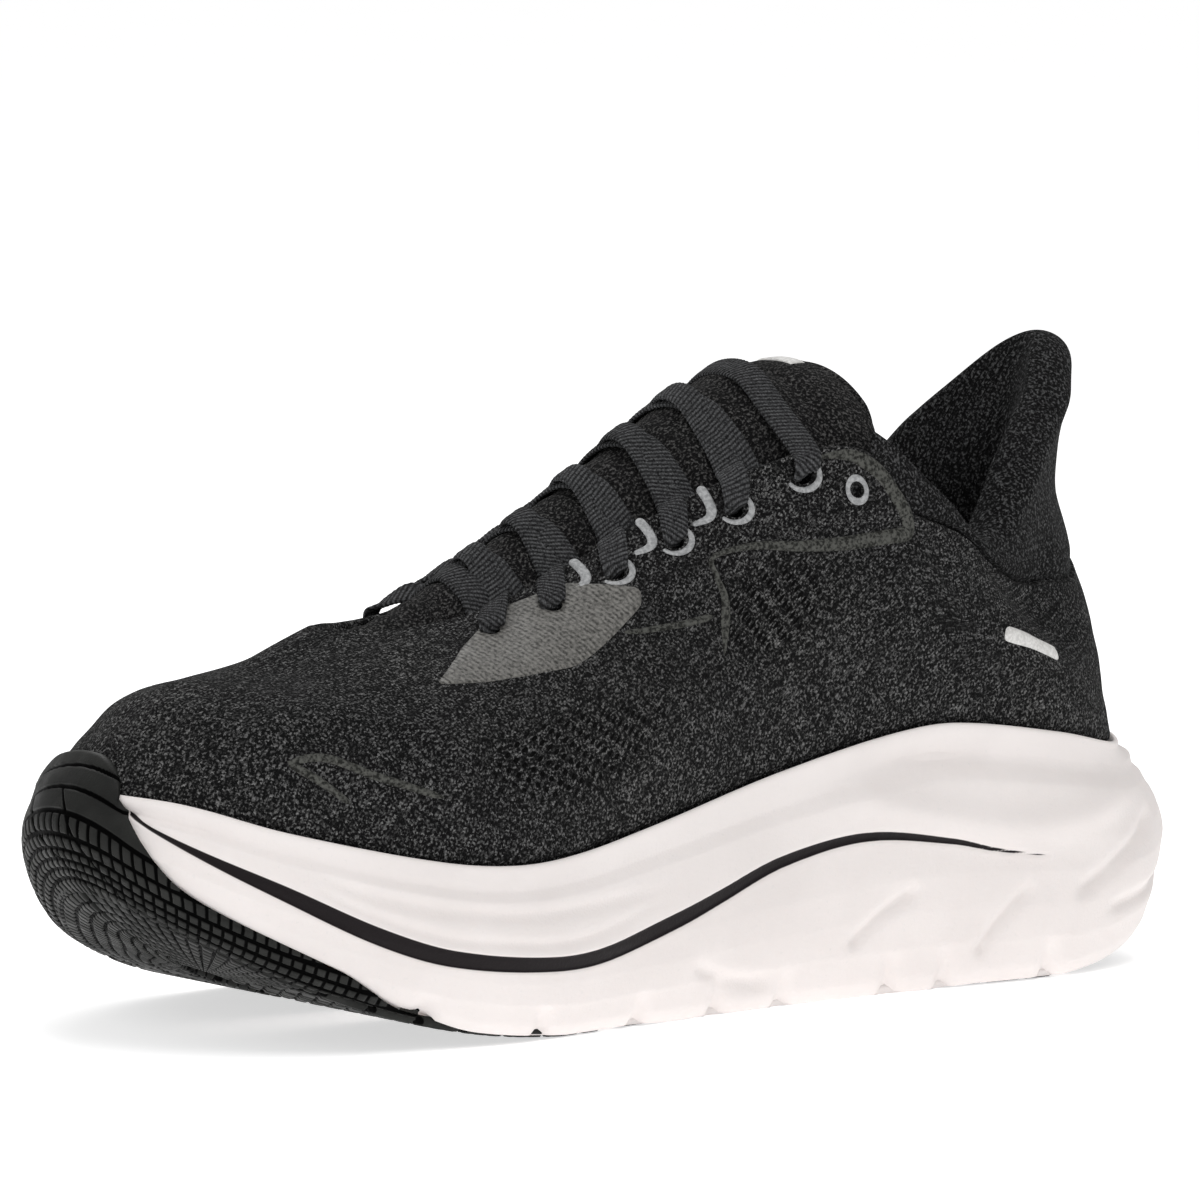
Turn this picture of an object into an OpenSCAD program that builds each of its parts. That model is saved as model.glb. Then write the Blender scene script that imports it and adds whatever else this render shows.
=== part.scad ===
// Running shoe for the right foot: thick rockered midsole, knitted upper, padded collar and laced tongue.
// X points to the toe, Y to the medial (inner) side and Z up. Z = 0 is the ground.

/* [Sole] */
// Overall length of the sole
shoe_length = 300; // [280:1:320]
// Width of the sole across the ball of the foot
ball_width = 112; // [104:1:120]
// Height of the foam bed under the heel
heel_bed = 36; // [34:0.5:38]
// Height of the foam bed under the ball
ball_bed = 28; // [26:0.5:29]
// Thickness of the rubber outsole pads
rubber_t = 2.5; // [2:0.1:3]
// Depth of the flex grooves in the rubber
groove_depth = 1.2; // [0.8:0.1:1.5]

/* [Upper] */
// Height of the collar's tab at the heel
tab_height = 138; // [132:1:144]
// Thickness of the knitted upper
knit_t = 1.8; // [1.4:0.1:2]
// Thickness of the padding round the ankle
padding_t = 7; // [5:0.5:8]
// Thickness of the heel counter
counter_t = 1.2; // [0.8:0.1:1.2]
// Thickness of the tongue
tongue_t = 4; // [3:0.5:4.5]
// Thickness of the sockliner
sockliner_t = 4.5; // [3.5:0.5:5]

/* [Laces] */
// Width of the flat lace
lace_w = 6.5; // [5:0.5:7]
// Thickness of the flat lace
lace_t = 1.6; // [1.2:0.1:1.7]
// Radius of an eyelet
eyelet_r = 2.2; // [2:0.1:2.4]

/* [Hidden] */

sx = shoe_length / 300;      // scale of the lengths along X
sy = ball_width / 112;       // scale of the widths along Y
GAP = 0.25;                  // clearance between bonded layers
EPS = 0.01;                  // step of the finite differences, in stations

// Widest plan outline of the sole: 22 stations from the toe tip along the medial side to the heel and back.
OUTLINE = [for (p = [
    [150, 7], [145, 24], [128, 41], [98, 52], [62, 56], [25, 51.5], [-15, 46], [-60, 44.5], [-100, 45],
    [-130, 37], [-145.5, 20], [-150, 0], [-145.5, -20], [-130, -37], [-100, -45.5], [-60, -47], [-15, -49.5],
    [25, -54], [58, -56], [92, -51], [120, -38], [142, -14]
]) [p[0] * sx, p[1] * sy]];

// Edge of the foot opening at the same stations: throat front, eyestay, ankle dip and heel tab.
OPENING = [for (p = [
    [82, 4, 84], [74, 10, 84], [60, 14, 85], [43, 16, 88], [25, 18, 95], [4, 21, 105], [-18, 26, 114],
    [-42, 33, 119], [-66, 35, 108], [-86, 31, 98], [-112, 22, 120], [-133, 0, 138], [-112, -22, 121],
    [-86, -32, 99], [-66, -36, 106], [-42, -33, 117], [-18, -27, 112], [4, -21, 103], [25, -17, 93.5],
    [43, -13, 87], [60, -9, 84], [74, -3, 84]
]) [p[0] * sx, p[1] * sy, p[2] + max(0, (p[2] - 98) / 40) * (tab_height - 138)]];

// How far the wall stands out from the straight line between rim and opening: [low, high] at each station.
BULGE = [
    [11, 6], [12, 6], [12, 8], [11, 8], [9, 8], [7, 6], [5, 4], [4, 2], [3, -1], [3, -3], [3, -5],
    [2, -7], [3, -5], [3, -3], [3, -1], [4, 2], [5, 4], [7, 6], [10, 8], [12, 8], [12, 8], [12, 6]
];

// Heights along X: [x, z].
GROUND = along([
    [-150, 26], [-138, 11], [-120, 3], [-102, 0], [-90, 0], [35, 0], [48, 0], [72, 2.5], [95, 8], [120, 18],
    [138, 29], [150, 40]
]);
RIM_MEDIAL = along([
    [-150, 51], [-142, 50], [-126, 48], [-98, 52.5], [-66, 56.5], [-47, 54.5], [-15, 47], [22, 38.5],
    [47, 36.5], [86, 42], [118, 50], [138, 54], [150, 55]
]);
RIM_LATERAL = along([
    [-150, 51], [-142, 50], [-126, 48], [-98, 51.5], [-66, 54], [-47, 52], [-15, 45.5], [22, 39],
    [47, 37.5], [86, 42], [118, 50], [138, 54], [150, 55]
]);
BED = along([
    [-150, heel_bed + 1], [-100, heel_bed], [-60, heel_bed - 1], [-15, (heel_bed + ball_bed) / 2], [30, ball_bed + 0.5],
    [60, ball_bed], [90, ball_bed + 4], [118, ball_bed + 12], [138, ball_bed + 19], [150, ball_bed + 22]
]);
// How far the rim of the sole sits inside its widest outline: [x, inset].
RIM_INSET = along([[-150, 18], [-138, 13], [-120, 9], [-90, 5.5], [-50, 3.5], [40, 4], [110, 4], [150, 5]]);

// Side of the sole from the ground to the rim: [part of the height, part of the rim's inset, extra inset].
SIDE = [
    [0, 0, 5.5], [0.05, 0, 3.6], [0.14, 0, 1.8], [0.28, 0, 0.5], [0.42, 0, 0], [0.56, 0.1, 0],
    [0.68, 0.25, 0], [0.78, 0.4, 0], [0.84, 0.5, 0.9], [0.9, 0.6, 0.2]
];
LIP = 1.6;                   // thickness of the sole's lip round the upper
FOLD = 3;                    // how far the upper turns in under the rim

// Rows run up the wall of the upper: 0 is its foot on the bed, 1 the rim of the sole and 4 the opening's edge.
ROWS = [0, 0.5, 1, 1.4, 1.8, 2.2, 2.6, 3, 3.5, 4];
// Row of the knit's top edge along the stations; the eyestays and the collar stand on it.
KNIT_TOP = [
    [0, 4], [1.2, 3.97], [2.2, 3.3], [6.2, 3.2], [7, 3.3], [7.6, 3.42], [8.1, 3.55], [8.8, 3.52], [9.4, 2.92],
    [10, 2.45], [11, 2.28]
];
EYESTAY = [1.3, 7.3];        // stations of an eyestay's ends
EYELETS = [2.9, 3.6, 4.45, 5.15, 5.8, 6.5];   // stations of the laced eyelets
EYELET_ROW = 3.64;
SPARE = [6.92, 3.5];        // station and row of the spare eyelet
EYESTAY_T = 2.1;
RING_T = 0.5;
// Route of the raised piping on the quarter: [station, row], from the collar's corner down behind the eyestay.
PIPING = [
    [6.98, 3.92], [7.2, 3.75], [7.32, 3.3], [7.2, 2.92], [6.95, 2.84], [6.4, 2.97], [5.85, 3.12], [5.5, 3.19],
    [5.38, 3.1], [5.46, 2.8], [5.47, 2.45], [5.42, 2.1]
];
COLLAR = [7.4, 14.6];        // stations of the collar's ends
COLLAR_SKIN = 1;             // thickness of the collar's textile

// How far the tongue's ridge stands above its sides: [station of the throat, lift].
TONGUE_LIFT = [[0, 1], [1, 3], [2, 7], [3, 11.5], [4, 13.5], [5, 15.5], [6, 17.5], [7, 19]];
TONGUE_DEPTH = 4.8;          // depth of the tongue under the eyestays
TONGUE_BODY = [0.5, 6.55];   // stations of the tongue's root and of the line where its padded end folds
// Padded end of the tongue: [x, ridge height, half width, height of its sides].
TONGUE_TOP = [
    [-62, 132, 17, 126], [-55, 134.5, 22, 124.5], [-46, 135, 25, 122], [-35, 132.5, 26, 116.5]
];

// ---- curves ----
function along(table) = [for (p = table) [p[0] * sx, p[1]]];
function unit(v) = v / norm(v);
function mix(a, b, f) = a + (b - a) * f;
function clamp(x, a, b) = min(max(x, a), b);
function backwards(list) = [for (i = [len(list) - 1:-1:0]) list[i]];
function span(a, b, n) = [for (i = [0:n]) mix(a, b, i / n)];
function cr(a, b, c, d, f) =
    0.5 * (2 * b + (c - a) * f + (2 * a - 5 * b + 4 * c - d) * f * f + (3 * b - a - 3 * c + d) * f * f * f);
function wrap(i, n) = ((i % n) + n) % n;
// A closed table read at station s.
function at(table, s) =
    let (n = len(table), i = floor(s))
    cr(table[wrap(i - 1, n)], table[wrap(i, n)], table[wrap(i + 1, n)], table[wrap(i + 2, n)], s - i);
function slope(tab, k) =
    let (a = max(k - 1, 0), b = min(k + 1, len(tab) - 1)) (tab[b][1] - tab[a][1]) / (tab[b][0] - tab[a][0]);
function hermite(a, b, ma, mb, f) =
    (2 * f * f * f - 3 * f * f + 1) * a + (f * f * f - 2 * f * f + f) * ma
    + (3 * f * f - 2 * f * f * f) * b + (f * f * f - f * f) * mb;
// A smooth curve through the table's [x, value] points.
function curve(tab, x) =
    x <= tab[0][0] ? tab[0][1] :
    x >= tab[len(tab) - 1][0] ? tab[len(tab) - 1][1] :
    let (
        i = max([for (k = [0:len(tab) - 2]) tab[k][0] <= x ? k : 0]),
        h = tab[i + 1][0] - tab[i][0],
        f = (x - tab[i][0]) / h
    ) hermite(tab[i][1], tab[i + 1][1], slope(tab, i) * h, slope(tab, i + 1) * h, f);
function mirrored(s) = 22 - s;
function knit_top(s) = curve(KNIT_TOP, min(wrap(s, 22), 22 - wrap(s, 22)));

// ---- the sole's edges ----
function outward(s) = let (d = at(OUTLINE, s + EPS) - at(OUTLINE, s - EPS)) unit([d[1], -d[0]]);
function drawn_in(s, inset) = at(OUTLINE, s) - outward(s) * inset;
function ground(x) = max(0, curve(GROUND, x));
function bed(x) = curve(BED, x);
function rim_z(p) = mix(curve(RIM_LATERAL, p[0]), curve(RIM_MEDIAL, p[0]), clamp(0.5 + p[1] / 30, 0, 1));
function rim_inset(s) = curve(RIM_INSET, at(OUTLINE, s)[0]);
function rim(s) = let (q = drawn_in(s, rim_inset(s))) [q[0], q[1], rim_z(at(OUTLINE, s))];
function foot(s) = let (q = drawn_in(s, rim_inset(s) + FOLD)) [q[0], q[1], bed(q[0])];
// A point of the plan drawn in towards the sole's spine; f = 1 leaves it at the edge.
function to_spine(p, f) = mix([clamp(p[0], -106 * sx, 106 * sx), 0], [p[0], p[1]], f);

// ---- the wall of the upper ----
function out3(s) = let (n = outward(s)) [n[0], n[1], 0];
function wall_plane(s) = let (c = unit(at(OPENING, s) - rim(s))) unit(cross(c, out3(s)));
function wall_knots(s) =
    let (
        e = rim(s), o = at(OPENING, s), b = at(BULGE, s), f = foot(s),
        c = unit(o - e), out = unit(out3(s) - c * (out3(s) * c)),
        low = mix(e, o, 0.35) + out * b[0], high = mix(e, o, 0.7) + out * b[1]
    ) [2 * f - e, f, e, low, high, o, 2 * o - high];
function on_knots(k, v) = let (i = clamp(floor(v), 0, 3)) cr(k[i], k[i + 1], k[i + 2], k[i + 3], v - i);
// Points of the wall at station s, for a list of [row, depth under the outer face].
function wall(s, list) =
    let (k = wall_knots(s), w = wall_plane(s)) [
        for (r = list)
            let (t = unit(on_knots(k, r[0] + EPS) - on_knots(k, r[0] - EPS)))
                on_knots(k, r[0]) + cross(t, w) * r[1]
    ];
function wall_at(s, row, depth) = wall(s, [[row, depth]])[0];
// A point at a true distance under the wall's outer face.
function face_normal(s, row) =
    unit(cross(wall_at(s + EPS, row, 0) - wall_at(s - EPS, row, 0), wall_at(s, row + EPS, 0) - wall_at(s, row - EPS, 0)));
function off_wall(s, row, depth) = wall_at(s, row, 0) - face_normal(s, row) * depth;
// The same path moved inwards by d, in the station's own plane.
function moved_in(path, w, d) =
    let (m = len(path)) [
        for (i = [0:m - 1])
            let (t = unit(path[min(i + 1, m - 1)] - path[max(i - 1, 0)])) path[i] + cross(t, w) * d
    ];

// ---- solids from rings of points ----
// Joins rings of equal length into a solid; a closed one runs round, an open one gets end caps.
module loft(rings, closed = false) {
    n = len(rings[0]);
    count = len(rings);
    side = [
        for (j = [0:count - (closed ? 1 : 2)], i = [0:n - 1])
            let (k = (j + 1) % count, m = (i + 1) % n)
                each [[j * n + i, k * n + m, j * n + m], [j * n + i, k * n + i, k * n + m]]
    ];
    caps = closed ? [] : [
        for (i = [0:n / 2 - 2], e = [0, (count - 1) * n])
            let (a = e + i, b = e + i + 1, c = e + n - 2 - i, d = e + n - 1 - i)
                each (e == 0 ? [[a, b, c], [a, c, d]] : [[a, c, b], [a, d, c]])
    ];
    polyhedron(points = [for (r = rings) each r], faces = concat(side, caps), convexity = 10);
}
// A sheet of the wall: at each station the outer path and the path moved in by the thickness.
function sheet_ring(s, list, thick) =
    let (p = wall(s, list), q = moved_in(p, wall_plane(s), thick), m = len(p))
    concat(q, [for (j = [m - 1:-1:0]) p[j]]);
function rows_between(a, b, n, depth) = [for (v = span(a, b, n)) [v, depth]];

// ---- sole ----
AROUND = 88;
RING_STATIONS = [for (i = [0:AROUND - 1]) (i + 0.5) * 22 / AROUND];
function side_point(s, h, part, extra) =
    let (q = drawn_in(s, rim_inset(s) * part + extra), g = ground(q[0]) + rubber_t)
    [q[0], q[1], mix(g, rim_z(at(OUTLINE, s)), h)];
function under_point(p, f, dz) = let (q = to_spine(p, f)) [q[0], q[1], ground(q[0]) + dz];
function bed_point(p, f, dz) = let (q = to_spine(p, f)) [q[0], q[1], bed(q[0]) + dz];

module midsole() {
    color("#f1ecea") loft(concat(
        [for (f = [0.08, 0.45, 0.8]) [for (s = RING_STATIONS) under_point(side_point(s, 0, 0, 5.5), f, rubber_t)]],
        [for (r = SIDE) [for (s = RING_STATIONS) side_point(s, r[0], r[1], r[2])]],
        [for (r = [[0.9, -LIP], [1, -LIP * 0.7], [1, -GAP], [0.5, -GAP], [0, -GAP]])
            [for (s = RING_STATIONS) wall_at(s, r[0], r[1])]],
        [for (f = [0.94, 0.45, 0.08]) [for (s = RING_STATIONS) bed_point(foot(s), f, -GAP)]]
    ));
}

// A rubber pad that follows the rockered sole between two stations, from the edge towards the spine.
module curved_pad(s0, s1, n, edge_inset, reach) {
    loft([
        for (s = span(s0, s1, n))
            let (p = drawn_in(s, edge_inset))
                concat(
                    [for (f = span(1, reach, 4)) under_point(p, f, 0)],
                    [for (f = span(reach, 1, 4)) under_point(p, f, rubber_t - 0.15)]
                )
    ]);
}
// A flat rubber pad with grooves across it, from station s0 to s1 and down to the line at y.
module flat_pad(s0, s1, edge_inset, y, pitch) {
    rim_points = [for (s = span(s0, s1, 10)) drawn_in(s, edge_inset)];
    x0 = rim_points[0][0];
    x1 = rim_points[10][0];
    outline = concat(rim_points, [[x1, y], [x0, y]]);
    difference() {
        linear_extrude(height = rubber_t - 0.1) polygon(outline);
        for (x = [min(x0, x1) + pitch:pitch:max(x0, x1) - pitch / 2])
            translate([x - 0.9, -80, -1]) cube([1.8, 160, groove_depth + 1]);
    }
}
BUMPER_T = 1.5;
// Height of the bumper's upper edge round the toe: [station, row]; under 1 it is a part of the sole's side.
BUMPER_TOP = [
    [-3.4, 0.07], [-2.6, 0.15], [-1.9, 0.24], [-1.65, 0.5], [-1.35, 0.97], [-1, 1.27], [-0.5, 1.38], [0.2, 1.38],
    [0.6, 1.24], [0.87, 1], [1.07, 0.7], [1.23, 0.49], [1.45, 0.3], [1.7, 0.22], [2.3, 0.18], [2.8, 0.13], [3.3, 0.07]
];
function side_column(c, h) = lookup(h, [for (r = concat(SIDE, [[1, 1, -LIP]])) [r[0], r[c]]]);
// A point of the toe's outside: rows up to 1 are the sole's side, rows above lie on the upper.
function toe_point(s, q) =
    q <= 1 ? side_point(s, q, side_column(1, q), side_column(2, q))
    : wall_at(s, q, mix(-LIP, -0.1, clamp((q - 1) / 0.12, 0, 1)));
module toe_bumper() {
    color("#1b1b1c") loft([
        for (s = concat(span(-3.4, -1.9, 6), span(-1.8, 1.7, 26), span(1.85, 3.3, 6)))
            let (
                w = wall_plane(s), base = [for (q = span(0.01, curve(BUMPER_TOP, s), 12)) toe_point(s, q)],
                inner = moved_in(base, w, -0.6), outer = moved_in(base, w, -0.6 - BUMPER_T)
            ) concat(inner, backwards(outer))
    ]);
}
module outsole_forefoot_medial() { color("#1e1e1f") curved_pad(0.1, 4.72, 18, 7, 0.15); }
module outsole_forefoot_lateral() { color("#1e1e1f") curved_pad(17.35, 21.7, 18, 7, 0.15); }
module outsole_ball_medial() { color("#1e1e1f") flat_pad(6.2, 4.85, 7, 4, 10); }
module outsole_ball_lateral() { color("#1e1e1f") flat_pad(15.8, 17.2, 7, -4, 10); }
module outsole_heel_medial() { color("#1e1e1f") flat_pad(8, 6.95, 7, 14, 9); }
module outsole_heel_lateral() { color("#1e1e1f") flat_pad(14, 15.1, 7, -14, 9); }
module outsole_heel_rear() { color("#1e1e1f") curved_pad(8.15, 13.85, 22, 8, 0.62); }

// ---- inside ----
BOARD_T = 1.5;
INNER = FOLD + knit_t + GAP;                 // inset from the rim to the board's edge
module strobel_board() {
    edge = [for (s = RING_STATIONS) drawn_in(s, rim_inset(s) + INNER + 0.6)];
    color("#d9d2c4") loft(concat(
        [for (f = [0.1, 0.6, 1]) [for (p = edge) bed_point(p, f, GAP)]],
        [for (f = [1, 0.6, 0.1]) [for (p = edge) bed_point(p, f, GAP + BOARD_T)]]
    ));
}
// Half of the sockliner: a strip of crossbars from one X to another.
SOCK_INSET = INNER + counter_t + COLLAR_SKIN + 1.9;
function half_width(x, side) =
    let (s = station_of(x * sx, side)) drawn_in(s, rim_inset(s) + SOCK_INSET)[1];
// Station on one side of the outline whose inner edge lies at x, found by halving.
function station_of(x, side, lo = 0.05, hi = 10.95, n = 18) =
    n == 0 ? (side > 0 ? lo : mirrored(lo)) :
    let (m = (lo + hi) / 2, s = side > 0 ? m : mirrored(m), p = drawn_in(s, rim_inset(s) + SOCK_INSET)[0])
        p > x ? station_of(x, side, m, hi, n - 1) : station_of(x, side, lo, m, n - 1);
module sock_strip(xs) {
    loft([
        for (x = xs)
            let (a = half_width(x, 1), b = half_width(x, -1), z = bed(x * sx) + GAP + BOARD_T + 0.4)
                concat(
                    [for (f = [1, 0.67, 0.33, 0]) [x * sx, mix(b, a, f), z]],
                    [for (f = [0, 0.33, 0.67, 1]) [x * sx, mix(b, a, f), z + sockliner_t]]
                )
    ]);
}
FLEX_X = -10;                // where the sockliner bends when its heel is lifted
module sockliner_front() {
    color("#3b3d40") sock_strip([136, 133, 128, 120, 110, 98, 84, 68, 52, 36, 20, 5, FLEX_X + 0.2]);
}
module sockliner_heel() {
    color("#3b3d40") sock_strip([FLEX_X - 0.2, -22, -36, -50, -64, -78, -90, -100, -108, -114, -118, -120.5]);
}

// ---- upper ----
module upper_knit() {
    color("#232425") loft([
        for (i = [0:AROUND - 1])
            let (s = i * 22 / AROUND, top = knit_top(s))
                sheet_ring(s, [for (v = ROWS) [v <= 1 ? v : 1 + (v - 1) / 3 * (top - 1), 0]], knit_t)
    ], true);
}
module toe_puff() {
    color("#4a4642") loft([
        for (s = span(-2.25, 2.5, 19))
            sheet_ring(s, rows_between(0.4, 1.5 + 0.9 * (1 - pow(abs(s - 0.1) / 2.45, 2)), 5, knit_t + 0.9), 0.8)
    ]);
}
module heel_counter() {
    color("#4a4642") loft([
        for (s = span(7.75, 14.25, 26))
            sheet_ring(s, rows_between(0.35, 1.2 + 0.85 * (1 - pow(abs(s - 11) / 3.3, 4)), 6, knit_t + 0.5), counter_t)
    ]);
}
// Depth of the collar's inside under the wall's outer face, along the rows and round the stations.
LINING_DEPTH = knit_t + 0.5 + counter_t + 0.35 + COLLAR_SKIN;
function plump(s) = 0.35 + 0.65 * pow(sin(180 * clamp((s - COLLAR[0]) / (COLLAR[1] - COLLAR[0]), 0, 1)), 0.6);
function collar_depth(s, v) =
    let (base = LINING_DEPTH, swell = clamp((v - 1.7) / 1.5, 0, 1))
    base + padding_t * plump(s) * (3 * swell * swell - 2 * swell * swell * swell);
// The collar's skin from the seam on the outside, over the edge and down the lining to the bed.
COLLAR_STATIONS = span(COLLAR[0], COLLAR[1], 40);
function row_mm(s) = norm(at(OPENING, s) - rim(s)) / 3;
function edge_lift(s) = 0.8 * min(collar_depth(s, 4) / 2, 5) / row_mm(s);
function collar_path(s) =
    let (v0 = knit_top(s) + 0.03, lift = edge_lift(s), v1 = 4 - lift, half = collar_depth(s, 4) / 2)
    concat(
        [[v0, 0.1], [mix(v0, v1, 0.3), -0.7], [mix(v0, v1, 0.7), -0.8]],
        [for (a = [0:30:180]) [v1 + lift * sin(a), half * (1 - cos(a))]],
        [for (v = span(v1 - 0.2, 0.3, 9)) [v, collar_depth(s, v)]]
    );
module collar_cover() {
    color("#1f2021") loft([
        for (s = COLLAR_STATIONS) sheet_ring(s, collar_path(s), COLLAR_SKIN)
    ]);
}
module collar_foam() {
    color("#c9b98f") loft([
        for (i = [1:39])
            let (s = COLLAR_STATIONS[i], rows = span(2.35, 4 - edge_lift(s), 4))
                concat(
                    wall(s, [for (v = rows) [v, collar_depth(s, v) - COLLAR_SKIN - 1]]),
                    wall(s, [for (j = [4:-1:0]) [rows[j], knit_t + 0.5]])
                )
    ]);
}

// ---- eyestays and trim ----
function on_side(s, medial) = medial ? s : mirrored(s);
module drill(s, row) {
    n = face_normal(s, row);
    translate(off_wall(s, row, 1)) rotate([0, acos(n[2]), atan2(n[1], n[0])]) children();
}
module eyestay(medial) {
    color("#2a2b2d") difference() {
        loft([
            for (i = span(EYESTAY[0], EYESTAY[1], 24))
                let (s = on_side(medial ? i : EYESTAY[0] + EYESTAY[1] - i, medial))
                    sheet_ring(s, rows_between(knit_top(s) + 0.03, 4, 4, 0), EYESTAY_T)
        ]);
        for (k = EYELETS) drill(on_side(k, medial), EYELET_ROW) cylinder(h = 12, r = eyelet_r, center = true, $fn = 24);
        drill(on_side(SPARE[0], medial), SPARE[1]) cylinder(h = 12, r = eyelet_r * 0.8, center = true, $fn = 24);
    }
}
module ring(r) {
    translate([0, 0, 1.25]) difference() {
        cylinder(h = RING_T, r = r + 1.1, $fn = 32);
        translate([0, 0, -1]) cylinder(h = RING_T + 2, r = r, $fn = 32);
    }
}
module eyelet_rings(medial) {
    color("#8b8d90") {
        for (k = EYELETS) drill(on_side(k, medial), EYELET_ROW) ring(eyelet_r);
        drill(on_side(SPARE[0], medial), SPARE[1]) ring(eyelet_r * 0.8);
    }
}
// A raised cord of trim that lies on the quarter.
PIPE_R = 0.9;
function list_at(list, i, f) =
    let (n = len(list) - 1) cr(list[max(i - 1, 0)], list[i], list[min(i + 1, n)], list[min(i + 2, n)], f);
module piping(medial) {
    route = [for (i = [0:len(PIPING) - 2], k = [0:2]) list_at(PIPING, i, k / 3)];
    last = len(route) - 1;
    centre = [for (p = route) off_wall(on_side(p[0], medial), p[1], -0.3 - PIPE_R)];
    color("#35373a") loft([
        for (i = [0:last])
            let (
                t = unit(centre[min(i + 1, last)] - centre[max(i - 1, 0)]),
                n = face_normal(on_side(route[i][0], medial), route[i][1]), w = unit(cross(n, t))
            ) [for (a = [0:60:300]) centre[i] - w * PIPE_R * cos(a) - n * PIPE_R * 0.7 * sin(a)]
    ]);
}
// A thin welded patch on the wall between two stations, with its own rows at each end.
module patch(s0, s1, low0, high0, low1, high1) {
    loft([
        for (f = span(0, 1, 8))
            sheet_ring(mix(s0, s1, f), rows_between(mix(low0, low1, f), mix(high0, high1, f), 3, -0.9), 0.45)
    ]);
}

// ---- tongue ----
// The tongue's arch at throat station k; f runs from -1 at the lateral edge to 1 at the medial edge.
function tongue_side(k, g) = off_wall(on_side(k, g > 0), 4, TONGUE_DEPTH);
function arch(k, f) =
    mix(tongue_side(k, -1), tongue_side(k, 1), (f + 1) / 2) + [0, 0, curve(TONGUE_LIFT, k) * (1 - f * f)];
function arch_normal(k, f) = unit(cross(arch(k, f + 0.02) - arch(k, f - 0.02), arch(k + 0.05, f) - arch(k - 0.05, f)));
module tongue_body() {
    color("#252627") loft([
        for (k = span(TONGUE_BODY[0], TONGUE_BODY[1], 22))
            let (
                wing = min(0.45, 0.15 * k),
                top = concat(
                    [for (r = [wing, wing / 2]) off_wall(mirrored(k), 4 - r, TONGUE_DEPTH + 0.9)],
                    [for (f = span(-1, 1, 8)) arch(k, f)],
                    [for (r = [wing / 2, wing]) off_wall(k, 4 - r, TONGUE_DEPTH + 0.9)]
                )
            ) concat(backwards([for (q = top) q - [0, 0, tongue_t]]), top)
    ]);
}
function top_column(c, x) = curve([for (p = TONGUE_TOP) [p[0] * sx, p[c]]], x);
function top_z(x, f) = top_column(1, x) - (top_column(1, x) - top_column(3, x)) * f * f;
module tongue_top() {
    color("#1c1d1e") loft([
        for (t = span(0, 1, 12))
            let (x = mix(-35, -62, t) * sx, w = top_column(2, x) * sy, pad = tongue_t * (0.9 + 0.9 * sin(180 * clamp(t, 0, 0.93))))
                concat(
                    [for (f = span(1, -1, 10)) [x, f * w * 0.985, top_z(x, f) - pad * (1 - 0.6 * pow(f, 4))]],
                    [for (f = span(-1, 1, 10)) [x, f * w, top_z(x, f)]]
                )
    ]);
}
module tongue_label() {
    color("#d8d6d2") loft([
        for (x = span(-40, -52, 4))
            concat(
                [for (f = span(0.36, -0.36, 6)) [x * sx, f * 25 * sy, top_z(x * sx, f) + 0.35]],
                [for (f = span(-0.36, 0.36, 6)) [x * sx, f * 25 * sy, top_z(x * sx, f) + 0.85]]
            )
    ]);
}

// ---- lace ----
UNDER = EYESTAY_T + 0.35 + lace_t / 2;       // depth of the lace under an eyestay
OVER = -0.9 - lace_t / 2;                    // depth of the lace over an eyestay, negative outside
LOW = lace_t / 2 + 0.4;                      // height of the lower strand over the tongue
HIGH = LOW + lace_t + 0.6;                   // height of the strand that crosses on top
DIVE = 0.4;                                  // stations from an eyelet to where the lace goes under the edge
function over_tongue(k, f, h) = arch(k, f) + arch_normal(k, f) * h;
function hole(r, g) = [off_wall(on_side(EYELETS[r], g > 0), EYELET_ROW, EYESTAY_T / 2), 0.42];
function over_edge(r, g) = let (k = EYELETS[r]) [
    [off_wall(on_side(k, g > 0), EYELET_ROW + 0.02, OVER), 0.5],
    [off_wall(on_side(k + 0.05, g > 0), 3.9, OVER - 0.3), 1]
];
function under_edge(r, g) = let (k = EYELETS[r]) [
    [off_wall(on_side(k - DIVE, g > 0), 4, UNDER), 1],
    [off_wall(on_side(k - 0.16, g > 0), 3.8, UNDER + 0.2), 0.9],
    [off_wall(on_side(k, g > 0), EYELET_ROW, UNDER), 0.45]
];
function emerging(g) = let (k = EYELETS[0]) [
    [off_wall(on_side(k, g > 0), EYELET_ROW, UNDER), 0.45],
    [off_wall(on_side(k + 0.02, g > 0), 3.8, UNDER + 0.2), 0.9],
    [off_wall(on_side(k + 0.05, g > 0), 4, UNDER), 1]
];
// One strand from eyelet r on side g across the tongue to eyelet r + 1 on the other side.
function strand(r, g) =
    let (
        k0 = EYELETS[r] + 0.1, k1 = EYELETS[r + 1] - DIVE, h = g > 0 ? HIGH : LOW,
        start = r == 0 ? emerging(g) : over_edge(r, g), h0 = r == 0 ? LOW : HIGH + 0.4
    ) concat(
        [hole(r, g)], start,
        [
            [over_tongue(mix(k0, k1, 0.15), g * 0.76, max(h, h0)), 1],
            [over_tongue(mix(k0, k1, 0.3), g * 0.42, max(h, LOW)), 1],
            [over_tongue(mix(k0, k1, 0.55), 0, h), 1],
            [over_tongue(mix(k0, k1, 0.78), -g * 0.42, h), 1],
            [over_tongue(mix(k0, k1, 0.92), -g * 0.78, LOW), 1]
        ],
        under_edge(r + 1, -g)
    );
BAR = concat(
    [hole(0, 1)], over_edge(0, 1),
    [for (f = [0.6, 0, -0.6]) [over_tongue(EYELETS[0] - 0.1, f, HIGH + 0.4), 1]],
    [over_edge(0, -1)[1], over_edge(0, -1)[0]]
);
function half_lace(g) = [for (r = [0:4]) each strand(r, r % 2 == 0 ? g : -g)];
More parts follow.
